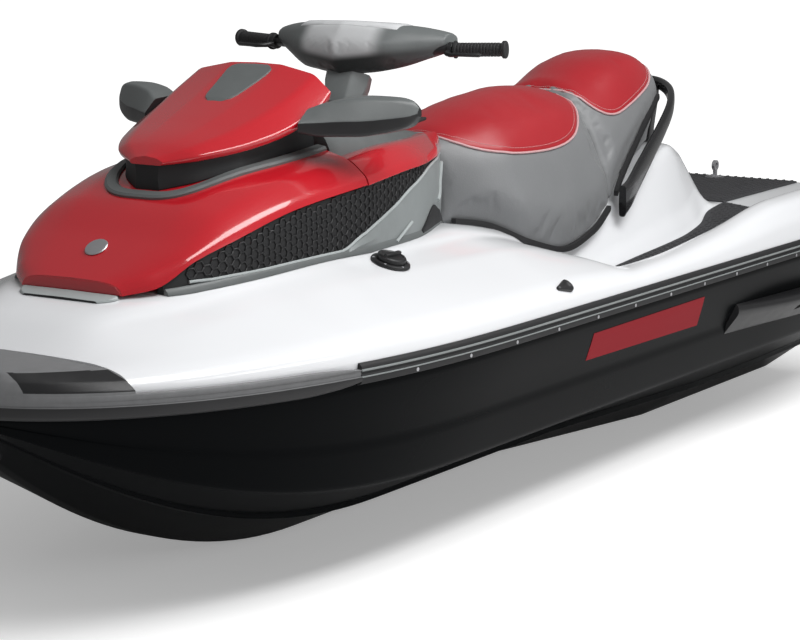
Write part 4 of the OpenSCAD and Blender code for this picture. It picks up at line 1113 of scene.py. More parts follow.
class WATERCRAFT_OT_sponsons(bpy.types.Operator):
    """Sponsons on the hull sides, each with three scoops"""

    bl_idname = "watercraft.sponsons"
    bl_label = "Sponsons"

    def execute(self, context):
        def crease(x, f):
            return mix(chine_h(x), RAIL - 45, f)

        def section(x):
            t = (x + 3310) / (3310 - 2440)
            d = 44 * math.sin(math.radians(20 + 150 * clamp(t, 0, 1)))
            lo, hi = mix(262, 300, t), mix(352, 384, t)
            ring = [(side_y(x, lo) + 0.3, lo), (side_y(x, lo) + 0.6 * d, lo + 8), (side_y(x, hi) + d, hi - 26),
                    (side_y(x, hi) + d * 0.8, hi - 8), (side_y(x, hi) + 0.3, hi)]
            ring += [(side_y(x, crease(x, f)) + 0.3, crease(x, f)) for f in (0.44, 0.36)]
            return rounded(ring, [0, 8, 14, 8, 0, 0, 0], 3, closed=True)

        fin = loft("sponson", span(-3300, -2452, 60), section)
        cutters = []
        for x in (-3180, -3040, -2900):
            y = side_y(x, 340)
            path = [metres(x + k, y + 44, 302 + 0.1 * k + 22 * math.sin(math.pi * k / 96)) for k in span(0, 96, 8)]
            cutters.append(tube("scoop", path, 0.012, 10))
        carve(fin, *cutters)
        mirror_copy(fin)
        fin.name = "side_fins"
        settle(fin, "craft", finish_of("black trim"), ("sponsons",))
        return {"FINISHED"}


# ------------------------------------------------------------------ hood
def hood_ring(x):
    outer = rounded(hood_top(x) + [(0, hood_top(x)[3][1] + 2)], [0, 12, 24, 22, 0], 4)
    h = hood_top(x)
    inner = [(h[0][0] - 7, h[0][1]), (h[1][0] - 7, h[1][1] - 3.5), (h[2][0] - 4.2, h[2][1] - 7),
             (h[3][0], h[3][1] - 7), (0, h[3][1] - 7)]
    inner = rounded(inner, [0, 10, 20, 18, 0], 4)
    mirrored = [(-y, z) for y, z in reversed(outer) if y > 0.01]
    return outer + mirrored + [(-y, z) for y, z in inner if y > 0.01] + inner[::-1]


class WATERCRAFT_OT_hood(bpy.types.Operator):
    """Red front hood with its nose, the grey lip round the intake and the dark band under the visor"""

    bl_idname = "watercraft.hood"
    bl_label = "Front hood"

    def execute(self, context):
        xs = span(HOOD_BACK, -620, 40)[:-1] + span(-620, -420, 30)[:-1] + span(-420, HOOD_FRONT, 6)
        shell = loft("hood_skin", xs, hood_ring)
        nose = loft("nose", span(-406, HOOD_FRONT + 1, 4), lambda x: whole(
            [(hood_top(x)[0][0] - 3, hood_top(x)[0][1] + 1)] + [(p[0] - 3, p[1] - 2) for p in hood_top(x)[1:]]
            + [(0, hood_top(x)[3][1] - 2)]))
        skin = joined("hood_shell", [shell, nose])
        settle(skin, "hood", finish_of("red lacquer"), ("hood_panel",), 26)
        tree = surface_of(skin)
        button = lathe("hood_button", [(0.0, 0.024), (0.0018, 0.026), (0.004, 0.0245), (0.005, 0.018),
                                       (0.0046, 0.0)], (0, 0, 0), (0, 0, 1), 36)
        hit, normal = drop_on(tree, *metres(-480, 0, 0)[:2])
        turn = Vector((0, 0, 1)).rotation_difference(normal).to_matrix()
        for v in button.data.vertices:
            v.co = turn @ v.co + hit
        settle(button, "hood", finish_of("steel"))

        # grey lip round the front of the intake, lying on the skin
        path, ups = [], []
        for a in span(-104, 104, 60):
            t = math.radians(a)
            x = -960 + 330 * math.cos(t) if abs(a) < 90 else -960 - 420 * (abs(a) - 90) / 60
            y = 176 * math.copysign(abs(math.sin(t)) ** 0.62, a) if abs(a) < 90 else math.copysign(176, a)
            hit, n = drop_on(tree, *metres(x, y, 0)[:2])
            if hit is None:
                continue
            path.append(hit)
            ups.append(n)
        rings = []
        for i, (p, n) in enumerate(zip(path, ups)):
            t = (path[min(i + 1, len(path) - 1)] - path[max(i - 1, 0)]).normalized()
            side = t.cross(n).normalized()
            wide = 0.015
            rings.append([tuple(p + u * wide * side + v * n) for u, v in
                          ((-1, -0.001), (-1, 0.003), (-0.7, 0.007), (0.6, 0.0085), (1, 0.005), (1, -0.001))])
        lip = new_object("intake_lip", grid_mesh("intake_lip", rings))
        settle(lip, "hood", finish_of("grey trim"))

        def band(x):
            w = min(lines_at(VISOR, x)[0][0] - 12, hood_top(x)[3][0] - 4)
            z, top = hood_top(x)[3][1] + 2.2, RAIL + lines_at(VISOR, x)[0][1] - 0.3
            return whole(rounded([(0, z), (w, z), (w - 4, mix(z, top, 0.5)), (w, top), (0, top)],
                                 [0, 3, 30, 3, 0], 3))

        dark = loft("intake_band", span(-1052, -653, 40), band)
        settle(dark, "hood", finish_of("matt black"), ("hood_band",))
        for name in ("hood_straps",):
            frame["nodes"][name].data.materials.clear()
            frame["nodes"][name].data.materials.append(finish_of("steel"))
        return {"FINISHED"}


class WATERCRAFT_OT_visor(bpy.types.Operator):
    """Red visor over the intake, with its grey crown inset"""

    bl_idname = "watercraft.visor"
    bl_label = "Visor"

    def execute(self, context):
        def ring(x):
            h = visor_top(x)
            return whole(rounded([(0, h[0][1])] + h, [0, 4, 6, 12, 7, 0], 4))

        xs = span(-1055, -700, 44)[:-1] + span(-700, -650, 12)
        visor = loft("visor_shell", xs, ring)
        settle(visor, "hood", finish_of("red lacquer"), ("hood_visor",), 30)
        tree = surface_of(visor)

        def edge(x):
            t = clamp((x + 1050) / 155, 0, 1)
            corner = min(1.0, math.sqrt(max(0.0, 1 - (2 * t - 1) ** 8)))
            return mix(66, 36, t) * max(corner, 0.55)

        inset = patch("crown_inset", tree, span(-1050, -895, 24), edge, 0.003, 0.002, 14, 0.0, 0.003)
        settle(inset, "hood", finish_of("grey trim"), ("hood_inset",), 40)
        return {"FINISHED"}


MIRROR = [
    (212.3, (-1045, -915, 78, 134)),
    (255, (-1062, -945, 70, 150)),
    (315, (-1080, -985, 70, 156)),
    (375, (-1096, -1032, 80, 154)),
    (408, (-1100, -1064, 94, 146)),
    (418, (-1100, -1076, 106, 138))]


class WATERCRAFT_OT_mirrors(bpy.types.Operator):
    """Wing mirrors: dark housings with a grey upper face, set on the hood shoulders"""

    bl_idname = "watercraft.mirrors"
    bl_label = "Mirrors"

    def execute(self, context):
        rings = []
        for y in span(212.3, 418, 44):
            back, front, low, high = (curve([(m[0], m[1][i]) for m in MIRROR], y) for i in range(4))
            low, high = RAIL + 366 + low, RAIL + 366 + high
            pts = [(front, low), (back, low), (back, high - 8), (back + 14, high), (mix(back, front, 0.7), high - 4),
                   (front, mix(low, high, 0.4))]
            end = clamp((418 - y) / 16, 0, 1) ** 0.5
            mid_x, mid_z = mix(back, front, 0.5), mix(low, high, 0.5)
            pts = rounded(pts, [8, 6, 4, 4, 8, 5], 4, closed=True)
            rings.append([metres(mix(mid_x, px, mix(0.72, 1, end)), y, mix(mid_z, pz, mix(0.6, 1, end)))
                          for px, pz in pts])
        half = new_object("mirror_housings", grid_mesh("mirror_housings", rings))
        count = len(half.data.polygons)
        housing = mirror_copy(half)
        smooth_by_angle(housing, 24)
        housing.data.materials.append(finish_of("black trim"))
        housing.data.materials.append(finish_of("grey trim"))
        for f in housing.data.polygons:
            k = f.index % count
            if k < count - 2 and 17 <= k % 30 <= 26:
                f.material_index = 1
        settle(housing, "hood", None, ("mirrors",), 0)
        glass = frame["nodes"]["mirror_glass"].data.materials
        glass.clear()
        glass.append(finish_of("mirror"))
        return {"FINISHED"}


# ------------------------------------------------------------------ fixed front body
def body_edge(x):
    """Upper outer edge of the vents, under the hood or the fairing."""
    if x > HOOD_BACK:
        h = hood_top(x)[0]
        return h[0], h[1] - 5
    h = lines_at(FAIRING, x)[0]
    return h[0], RAIL + h[1] - 0.3


class WATERCRAFT_OT_vents(bpy.types.Operator):
    """Side vents: dark panels covered with honeycomb, and a grey moulding along their foot"""

    bl_idname = "watercraft.vents"
    bl_label = "Side vents"

    def execute(self, context):
        def section(x):
            ex, ez = body_edge(x)
            w = ex + 3
            z = max(deck_z(x, w), deck_z(x, w - 26)) + 0.3
            n = 0 if x > HOOD_BACK else lines_at(CONSOLE, x)[0][0] + 1
            return [(max(w - 26, n), z), (w - 8, z), (ex - 9, ez), (max(ex - 22, n), ez)]

        xs = span(CONSOLE_BACK, -455, 90)
        panel = mirror_copy(loft("vent_panels", xs, section))
        settle(panel, "craft", finish_of("matt black"), ("vents",))

        def sweep(x):
            return curve([(-1600, 0.97), (-1440, 0.93), (-1280, 0.72), (-1200, 0.55), (-1120, 0.4), (-1040, 0.25),
                          (-960, 0.07), (-720, 0.09), (-560, 0.19), (-480, 0.45)], x)

        def on_panel(x, t, out):
            (y0, z0), (y1, z1) = section(x)[1:3]
            return metres(x, mix(y0, y1, t) + out, mix(z0, z1, t))

        pitch = sizes().cell * 1000
        points = []
        x, column = -1690.0, 0
        while x < -470:
            s = section(x)
            (y0, z0), (y1, z1) = s[1], s[2]
            height = math.dist((y0, z0), (y1, z1))
            fore = section(min(x + 20, -455))
            slope = ((fore[1][0] + fore[2][0]) - (y0 + y1)) / 2 / 20
            d = pitch * (0.62 if column % 2 else 1.12)
            while d < height - pitch * 0.5:
                t = d / height
                if t < sweep(x) + 0.5 * pitch / height:
                    d += pitch
                    continue
                normal = (-slope, (z1 - z0) / height, -(y1 - y0) / height)
                place = (x, mix(y0, y1, t) + 1.0, mix(z0, z1, t))
                points.append((metres(*place), turn_to(normal), 1.0))
                twin = metres(place[0], -place[1], place[2])
                points.append((twin, turn_to((normal[0], -normal[1], normal[2])), 1.0))
                d += pitch
            x += pitch * 0.866
            column += 1
        comb = scattered("vent_honeycomb", points, finish_of("black trim"), cell_copy,
                         Radius=pitch / 1000 * 0.577, Wall=0.0026)
        settle(comb, "craft", None, angle=0)

        aft = span(CONSOLE_BACK + 4, -960, 60)
        facet = [[on_panel(x, t, out) for t, out in
                  ((0.0, -2.0), (0.0, 4.0), (max(sweep(x) - 0.02, 0.01) * 0.5, 9.0), (max(sweep(x) - 0.02, 0.02), 4.0),
                   (max(sweep(x) - 0.02, 0.02), -2.0))] for x in aft]
        lower = mirror_copy(new_object("vent_facet", grid_mesh("vent_facet", facet)))
        settle(lower, "craft", finish_of("mid trim"), angle=20)
        edge = [tube("vent_edge", [on_panel(x, sweep(x), 4.0) for x in span(CONSOLE_BACK + 40, -500, 90)], 0.0034, 8)]
        edge += [tube("vent_strut", [on_panel(mix(a, b, t), mix(c, d, t), 9.5) for t in span(0, 1, 10)], r, 8)
                 for a, c, b, d, r in ((-1190, 0.02, -1270, 0.24, 0.0034), (-1500, 0.36, -1680, 0.84, 0.005))]
        outline = [(-1702, 0.05), (-1500, 0.24), (-1440, 0.34), (-1330, 0.05)]
        peak = [(x, curve(outline, x)) for x in span(-1700, -1334, 24)]
        gap = [[on_panel(x, t, out)
                for t, out in ((0.012, 5.0), (0.012, 9.4), (top * 0.6, 11.6), (top, 10.6), (top, 5.0))]
               for x, top in peak]
        gap = mirror_copy(new_object("vent_recess", grid_mesh("vent_recess", gap)))
        settle(gap, "craft", finish_of("matt black"), angle=30)
        edge = mirror_copy(joined("vent_lines", edge))
        settle(edge, "craft", finish_of("light trim"))

        foot = []
        for x in xs:
            (y0, z0) = section(x)[1]
            top = min(body_edge(x)[1] - 2, z0 + 13)
            ring = [(y0 - 1, z0), (y0 + 12, max(deck_z(x, y0 + 12), z0 - 8) + 0.4), (y0 + 9, z0 + 6), (y0 + 2, top)]
            foot.append([metres(x, y, z) for y, z in rounded(ring, [0, 2, 4, 2], 2, closed=True)])
        moulding = mirror_copy(new_object("vent_foot", grid_mesh("vent_foot", foot)))
        settle(moulding, "craft", finish_of("grey trim"))
        return {"FINISHED"}


class WATERCRAFT_OT_fairings(bpy.types.Operator):
    """Red side fairings behind the hood, beside the console"""

    bl_idname = "watercraft.fairings"
    bl_label = "Side fairings"

    def execute(self, context):
        def console_y(x, z):
            h = [console_half(x)[i] for i in range(4, 0, -1)]
            i = int(clamp(sum(1 for p in h if p[1] > z) - 1, 0, len(h) - 2))
            a, b = h[i], h[i + 1]
            return mix(a[0], b[0], clamp((a[1] - z) / max(a[1] - b[1], 0.01), 0, 1))

        def section(x):
            h = above(lines_at(FAIRING, x))
            zt = h[2][1]
            y = max(console_y(x, zt - 4), console_y(x, zt - 14)) + 0.3
            return rounded([h[0], h[1], h[2], (y, zt - 4), (y, zt - 14), (h[2][0] - 8, zt - 14),
                            (h[1][0] - 10, h[1][1] - 4), (h[0][0] - 9, h[0][1])],
                           [2, 12, 22, 1, 1, 8, 8, 1], 4, closed=True)

        skin = mirror_copy(loft("fairing_skins", span(CONSOLE_BACK, -1067, 60), section))
        settle(skin, "craft", finish_of("red lacquer"), ("side_fairings",))
        return {"FINISHED"}


class WATERCRAFT_OT_console(bpy.types.Operator):
    """Console behind the hood, with the gauge pod, nose trim and storage bin"""

    bl_idname = "watercraft.console"
    bl_label = "Console"

    def execute(self, context):
        body = loft("console_body", span(CONSOLE_BACK, -1066, 60),
                    lambda x: whole(rounded(console_half(x), [0, 0, 10, 30, 34, 0], 4)))
        post = tube("post_way", [metres(BAR[0] + s * math.sin(LEAN), 0, BAR[1] - s * math.cos(LEAN))
                                 for s in (100, 266)], 0.01705, 40)
        ears = [block("ear", (-1580, s * 51 if s > 0 else -57, 882), (-1570, 57 if s > 0 else -51, 910))
                for s in (1, -1)]
        carve(body, post, block("glovebox_well", (-1689, -62, RAIL + 270), (-1583, 62, RAIL + 500)))
        pin = tube("lid_pin", [metres(-1575, s * 57, 905) for s in (-1, 1)], 0.002, 16)
        body = joined("console_shell", [body, pin] + ears)
        settle(body, "craft", finish_of("grey trim"), ("console",))

        def pod(x):
            t = (x + 1215) / 147
            zc = console_half(x)[4][1] + 3.3
            zt = zc + mix(14, 96, t)
            return whole(rounded([(0, zc), (118, zc), (118, mix(zc, zt, 0.7)), (104, zt), (0, zt + 3)],
                                 [0, 2, 14, 16, 0], 4))

        gauge = loft("gauge_pod", span(-1215, -1068, 20), pod)
        settle(gauge, "craft", finish_of("black trim"), ("gauge_cluster",))
        tree = surface_of(gauge)
        glass = patch("gauge_screen", tree, span(-1190, -1112, 12), lambda x: 74, 0.0016, 0.001, 12)
        settle(glass, "craft", finish_of("screen"))

        def nose(x):
            t = (x + 390) / 33
            w = 130 - 30 * t**2
            z = deck_z(x, 0)
            return whole(rounded([(0, z + 0.3), (w, z + 0.3), (w - 3, z + 8.6 - 4 * t), (0, z + 9.6 - 4 * t)],
                                 [0, 1, 4, 0], 3))

        trim = loft("nose_moulding", span(-390, -357, 8), nose)
        smooth_by_angle(trim)
        trim.data.materials.append(finish_of("light trim"))
        trim.data.materials.append(finish_of("matt black"))
        for f in trim.data.polygons:
            f.material_index = 1 if abs(f.center.y) < 0.03 else 0
        settle(trim, "craft", None, ("nose_trim",), 0)
        return {"FINISHED"}


def dress(finish, *names):
    """Gives CAD nodes that stay as they are a finish."""
    for name in names:
        materials = frame["nodes"][name].data.materials
        materials.clear()
        materials.append(finish_of(finish))


class WATERCRAFT_OT_lids(bpy.types.Operator):
    """Glovebox lid with its rim and grip, and the lined storage bin under the hood"""

    bl_idname = "watercraft.lids"
    bl_label = "Lid and bin"

    def execute(self, context):
        back, front, half = -1679.0, -1591.0, 70.0
        rise = math.tan(math.radians(7))

        def plate(x, y, up):
            return metres(x, y, 902 + (x + 1575) * -rise + up)

        outline = rounded([(back, -half), (front, -half), (front, half), (back, half)], [12] * 4, 4, closed=True)
        shrink = [(0, 1.0, 0.0), (0, 1.0, 3.6), (1, 0.985, 5.0), (2, 0.86, 5.0), (2, 0.84, 4.2), (3, 0.3, 4.6)]
        mid = (back + front) / 2
        rings = [[plate(mid + (x - mid) * s, y * s, h) for x, y in outline] for _, s, h in shrink]
        lid = new_object("lid_top", grid_mesh("lid_top", rings))
        hinge = [lathe("lid_barrel", [(0, 0.0046), (0.0008, 0.005), (0.0192, 0.005), (0.02, 0.0046)],
                       metres(-1575, s, 905), (0, 1, 0), 24) for s in (30, -50)]
        arms = [block("lid_arm", (-1591, s, 901.6), (-1576, s + 20, 905.2)) for s in (30, -50)]
        cover = joined("glovebox_cover", [lid] + hinge + arms)
        settle(cover, "glovebox", finish_of("black trim"), ("glovebox_lid",))
        dress("matt black", "storage_bin", "step_brackets")
        dress("steel", "hood_bracket")
        return {"FINISHED"}


# ------------------------------------------------------------------ steering
def on_axis(s):
    return BAR[0] + s * math.sin(LEAN), 0.0, BAR[1] - s * math.cos(LEAN)


def leant(obj):
    """Tips a block drawn upright round the bar's centre to the column's lean."""
    pivot = Matrix.Translation(metres(BAR[0], 0, BAR[1]))
    obj.data.transform(pivot @ Matrix.Rotation(-LEAN, 4, "Y") @ pivot.inverted())
    return obj


def bar_at(y, side=1):
    t = max(0, (y - 150) / 235)
    return metres(BAR[0] - 60 * t, side * y, BAR[1] + 6 * t)


PAD = [
    (0, ((87, -64), (-38, -57), (-68, 8), (-53, 56), (62, 63), (112, 8))),
    (110, ((66, -52), (-48, -46), (-74, 8), (-60, 54), (44, 58), (86, 8))),
    (200, ((18, -22), (-66, -16), (-84, 8), (-76, 46), (0, 50), (28, 14))),
    (250, ((-18, -2), (-73, -4), (-86, 6), (-78, 36), (-28, 40), (-8, 20)))]


def pad_section(y, shrink=0.0):
    """Ring of the handlebar pad across the bar at y, drawn in mm round the bar's centre."""
    pts = lines_at(PAD, abs(y))
    cx, cz = sum(p[0] for p in pts) / 6, sum(p[1] for p in pts) / 6
    pts = [(cx + (a - cx) * (1 - shrink), cz + (b - cz) * (1 - shrink)) for a, b in pts]
    return rounded(pts, [16, 14, 22, 14, 20, 18], 4, closed=True)


class WATERCRAFT_OT_steering(bpy.types.Operator):
    """Steering post with its bellows, ribbed grips and curved levers"""

    bl_idname = "watercraft.steering"
    bl_label = "Steering"

    def execute(self, context):
        axis = (-math.sin(LEAN), 0, math.cos(LEAN))
        top = Vector(metres(*on_axis(20)))
        profile = [(-0.250, 0.0162), (-0.249, 0.017), (-0.152, 0.017), (-0.149, 0.0185), (-0.148, 0.031)]
        for k in range(9):
            s = -0.146 + k * 0.0145
            profile += [(s, 0.0325), (s + 0.003, 0.0332), (s + 0.0072, 0.0272), (s + 0.0114, 0.0332)]
        profile += [(-0.0148, 0.033), (-0.0142, 0.0185), (0.0, 0.017), (0.001, 0.0162)]
        post = lathe("post_bellows", profile, tuple(top), axis, 44)
        clamp_block = leant(block("bar_clamp", (BAR[0] - 26, -36, BAR[1] - 36), (BAR[0] + 26, 36, BAR[1] + 22)))
        bevelled(clamp_block, 0.004, 3)
        column = joined("steering_column", [post, clamp_block])
        settle(column, "steering", finish_of("black rubber"), ("steering_post",))
        levels = []
        for s, front, back, side in ((70, 46, 34, 62), (96, 48, 36, 60), (128, 44, 36, 50), (146, 40, 36, 42)):
            cx, _, cz = on_axis(s)
            ring = rounded([(front, -side * 0.6), (front, side * 0.6), (front * 0.2, side), (-back, side * 0.7),
                            (-back, -side * 0.7), (front * 0.2, -side)], [6] * 6, 3, closed=True)
            levels.append([metres(cx + a * math.cos(LEAN), b, cz + a * math.sin(LEAN)) for a, b in ring])
        boot = new_object("steering_boot", grid_mesh("steering_boot", levels))
        settle(boot, "steering", finish_of("mid trim"))
        dress("black trim", "handlebar")

        end, grip = 385.0, 118.0
        grips, levers = [], []
        for side in (1, -1):
            start, stop = Vector(bar_at(end - 6 - grip, side)), Vector(bar_at(end, side))
            length = (stop - start).length
            profile = [(0.0, 0.0112), (0.0002, 0.0195), (0.001, 0.021), (0.0052, 0.021), (0.006, 0.0168)]
            n = 13
            for k in range(n):
                s = mix(0.008, length - 0.016, k / n)
                step = (length - 0.024) / n
                profile += [(s, 0.0155), (s + step * 0.2, 0.0167), (s + step * 0.75, 0.0167),
                            (s + step * 0.95, 0.0155)]
            profile += [(length - 0.0105, 0.0165), (length - 0.0085, 0.0208), (length - 0.002, 0.0212),
                        (length, 0.0195), (length + 0.0006, 0.010)]
            grips.append(lathe("grip", profile, tuple(start), stop - start, 40))
            y = end - grip - 20
            c0, c1 = Vector(bar_at(y, side)), Vector(bar_at(y + 12, side))
            collar = lathe("perch", [(0, 0.0112), (0, 0.0172), (0.001, 0.018), (0.0108, 0.018), (0.0118, 0.0172),
                                     (0.0118, 0.0112)], tuple(c0), c1 - c0, 36)
            route = [(y + 7, 14, -5), (y + 12, 32, -7), (y + 22, 47, -8), (y + 34, 54, -9), (y + 56, 54, -9),
                     (y + 80, 52, -10), (y + 98, 50, -10), (y + 104, 50, -10)]
            pts = [tuple(Vector(bar_at(q, side)) + Vector((a / 1000, 0, b / 1000))) for q, a, b in route]
            lever = tube("lever", pts, [0.0068, 0.0062, 0.0052, 0.0048, 0.0045, 0.0045, 0.0052, 0.003], 16)
            levers += [collar, lever]
        handles = joined("grip_sleeves", grips)
        settle(handles, "steering", finish_of("black rubber"), ("grips",))
        blades = joined("control_levers", levers)
        settle(blades, "steering", finish_of("black trim"), ("levers",))
        return {"FINISHED"}


# ------------------------------------------------------------------ upholstery
def swollen(obj, voxel, pressure, cap):
    """Stuffs a closed form: remeshed, blown up as cloth under pressure, held to the cap in metres."""
    m = obj.modifiers.new("grid", "REMESH")
    m.mode, m.voxel_size, m.adaptivity = "VOXEL", voxel, 0.0
    apply_modifiers(obj)
    rest = [v.co.copy() for v in obj.data.vertices]
    cloth = obj.modifiers.new("stuffing", "CLOTH")
    s = cloth.settings
    s.quality, s.mass = 5, 0.3
    s.tension_stiffness = s.compression_stiffness = s.shear_stiffness = 15
    s.bending_stiffness = 0.5
    s.use_pressure, s.uniform_pressure_force = True, pressure
    s.effector_weights.gravity = 0
    cloth.point_cache.frame_start, cloth.point_cache.frame_end = 1, 20
    scene = bpy.context.scene
    for f in range(1, 21):
        scene.frame_set(f)
    apply_modifiers(obj)
    for v, old in zip(obj.data.vertices, rest):
        move = v.co - old
        if move.length > cap:
            v.co = old + move * (cap / move.length)
    scene.frame_set(1)
    m = obj.modifiers.new("smooth", "SUBSURF")
    m.levels = m.render_levels = 1
    return apply_modifiers(obj)


def seat_under(x, w, skirt):
    h = deck_top(x)
    a = min(h[8][0], w - 24)
    b = max(a + 6, min(h[7][0], w - 10))
    return [(0, h[9][1] + 0.7), (a, deck_z(x, a) + 0.7), (b, max(deck_z(x, b) + 0.7, skirt - 2)), (w, skirt)]


def seat_ring(table, x, slim):
    """Section of a seat base, drawn smaller by the swell of its foam."""
    h = [(p[0], RAIL + p[1]) for p in lines_at(table, x)]
    under = seat_under(x, h[0][0] - slim, h[0][1] + slim * 0.5)
    over = [(p[0] - slim * f, p[1] - slim * g) for p, f, g in zip(h[1:], (1, 0.9, 0.5, 0), (0, 0.4, 0.9, 1))]
    pts = under + over + [(0, h[4][1] + 3 - slim)]
    return whole(rounded(pts, [0, 8, 8, 12, 24, 30, 22, 16, 0], 4))


def upholster(name, body, table, first, last, panel, spread, nodes):
    """A seat: stuffed base, raised insert of the second vinyl, a pale pink cord round it that paints the highlight
    along the insert's edge, and a row of stitches.
    """
    swell = sizes().swell
    slim = swell * 1000 * 0.9
    ends = [(first, 10.0), (first + 5, 3.0), (first + 16, 0.0)]
    ends_far = [(last - 16, 0.0), (last - 5, 3.0), (last, 10.0)]
    xs = ends + [(x, 0.0) for x in span(first + 26, last - 26, 50)] + ends_far
    base = loft(name, [x for x, _ in xs], lambda x: seat_ring(table, x, slim + dict(xs)[x]))
    swollen(base, 0.007, 4.0, swell)
    settle(base, body, finish_of("grey vinyl"), (nodes,), 0)
    base.data.shade_smooth()
    # Black strip along the foot of each seat flank: painted shade, standing for the shadow under the seat.
    rows = []
    for x in span(first + 26, last - 26, 40):
        w, z = lines_at(table, x)[0]
        rows.append([metres(x, w + a, RAIL + z + b) for a, b in ((-12, 1), (0.6, 1), (1.4, 7), (0.4, 15), (-12, 15))])
    painted_shade_strip = mirror_copy(new_object(name + "_welt", grid_mesh(name + "_welt", rows)))
    settle(painted_shade_strip, body, finish_of("black rubber"))
    tree = surface_of(base)
    lo, hi = panel

    def edge(x):
        t = clamp((x - lo) / (hi - lo), 0, 1)
        corner = max(0.0, 1 - abs(2 * t - 1) ** 4.5) ** 0.5
        rows = sorted(table)
        inner, outer = (curve([(s[0], s[1][k][0]) for s in rows], x) for k in (3, 2))
        return mix(inner, outer, spread) * mix(0.4, 1.0, corner)

    insert = patch(name + "_insert", tree, span(lo, hi, 40), edge, 0.004, 0.004, 24, 0.005, 0.006)
    settle(insert, body, finish_of("red vinyl"), (), 0)
    insert.data.shade_smooth()
    outline = [(x, 1) for x in span(lo, hi, 44)] + [(x, -1) for x in reversed(span(lo, hi, 44))]
    path, seam = [], []
    for x, s in outline:
        for scale, keep, lift in ((1.0, path, 0.0028), (0.955, seam, 0.0052)):
            px, py, _ = metres(mix((lo + hi) / 2, x, scale if keep is seam else 1.0), s * edge(x) * scale, 0)
            hit, n = drop_on(tree, px, py)
            keep.append(hit + n * lift)
    # Pale pink cord along the insert's edge: painted highlight.
    cord = tube(name + "_cord", path, 0.0031, 10, closed=True)
    settle(cord, body, finish_of("painted highlight cord"), (), 50)
    pitch, points, carry = sizes().stitch, [], 0.0
    for a, b in zip(seam, seam[1:] + seam[:1]):
        length = (b - a).length
        while carry < length and length > 1e-6:
            place = a.lerp(b, carry / length)
            hit, n = drop_on(surface_tree(insert), place.x, place.y)
            if hit is not None:
                points.append((tuple(hit + n * 0.0004), turn_to(n, b - a), 1.0))
            carry += pitch
        carry -= length
    thread = scattered(name + "_stitches", points, finish_of("painted highlight cord"), stitch_copy,
                       Radius=0.0007, Length=pitch * 0.62)
    settle(thread, body, None, angle=0)
    return base


_TREES = {}


def surface_tree(obj):
    if obj.name not in _TREES:
        _TREES[obj.name] = surface_of(obj)
    return _TREES[obj.name]


class WATERCRAFT_OT_driver_seat(bpy.types.Operator):
    """Driver's saddle, stuffed, with a pale cord round its insert that paints the edge highlight"""

    bl_idname = "watercraft.driver_seat"
    bl_label = "Driver's seat"

    def execute(self, context):
        upholster("saddle_front", "driver_seat", DRIVER, -2337, SEAT_FRONT, (-2318, -1750), 0.94,
                  "driver_seat")
        return {"FINISHED"}


class WATERCRAFT_OT_passenger_seat(bpy.types.Operator):
    """Passengers' saddle, stuffed, with a pale cord round its insert that paints the edge highlight"""

    bl_idname = "watercraft.passenger_seat"
    bl_label = "Passenger seat"

    def execute(self, context):
        upholster("saddle_rear", "passenger_seat", PASSENGER, SEAT_BACK, -2343, (-2800, -2360), 0.97,
                  "passenger_seat")
        return {"FINISHED"}


class WATERCRAFT_OT_handlebar_pad(bpy.types.Operator):
    """Padded handlebar cover with its pale centre panel"""

    bl_idname = "watercraft.handlebar_pad"
    bl_label = "Handlebar pad"

    def execute(self, context):
        def ring(y, shrink):
            return [metres(BAR[0] + a, y, BAR[1] + b) for a, b in pad_section(y * 250 / 242, shrink)]

        ys = span(-242, 242, 60)
        foam = new_object("bar_pad", grid_mesh("bar_pad", [ring(y, 0.05) for y in ys]))
        swollen(foam, 0.0055, 4.0, 0.004)
        reach = [metres(BAR[0], s * 154, BAR[1]) for s in (-1, 1)]
        box = leant(block("clamp_room", (BAR[0] - 27, -37, BAR[1] - 90), (BAR[0] + 27, 37, BAR[1] + 23)))
        cuts = [tube("bar_way", reach, 0.0113, 24), box]
        cuts += [tube("bar_way", [bar_at(150, s), bar_at(276, s)], 0.012, 24) for s in (1, -1)]
        cuts.append(tube("post_way", [metres(*on_axis(s)) for s in (25, 110)], 0.0353, 32))
        carve(foam, *cuts)
        settle(foam, "steering", finish_of("two tone pad"), ("handlebar_pad",), 50)
        tree = surface_of(foam)
        top, low = [], []
        for y in span(-138, 138, 36):
            line_top, line_low = [], []
            for k in range(19):
                x = mix(lines_at(PAD, abs(y))[3][0] + 4, lines_at(PAD, abs(y))[4][0] - 2, k / 18)
                px, py, _ = metres(BAR[0] + x, y, 0)
                hit, _ = drop_on(tree, px, py)
                rim = min(k, 18 - k) / 18
                end = 1 - abs(y) / 138
                rise = 0.0032 * min(1, rim * 8) ** 0.5 * min(1, end * 9) ** 0.5
                line_top.append((px, py, hit.z + 0.0006 + rise))
                line_low.append((px, py, hit.z - 0.0004))
            top.append(line_top)
            low.append(line_low)
        cover = new_object("pad_panel", grid_mesh("pad_panel", [t + l[::-1] for t, l in zip(top, low)]))
        settle(cover, "steering", finish_of("silver pad"), ("pad_cover",), 50)
        return {"FINISHED"}


# ------------------------------------------------------------------ fittings
GRAB = [(-2350, 264, 140), (-2400, 258, 158), (-2480, 243, 198), (-2580, 226, 250), (-2680, 208, 300),
        (-2780, 184, 352), (-2860, 142, 388), (-2915, 76, 408), (-2936, 0, 412)]


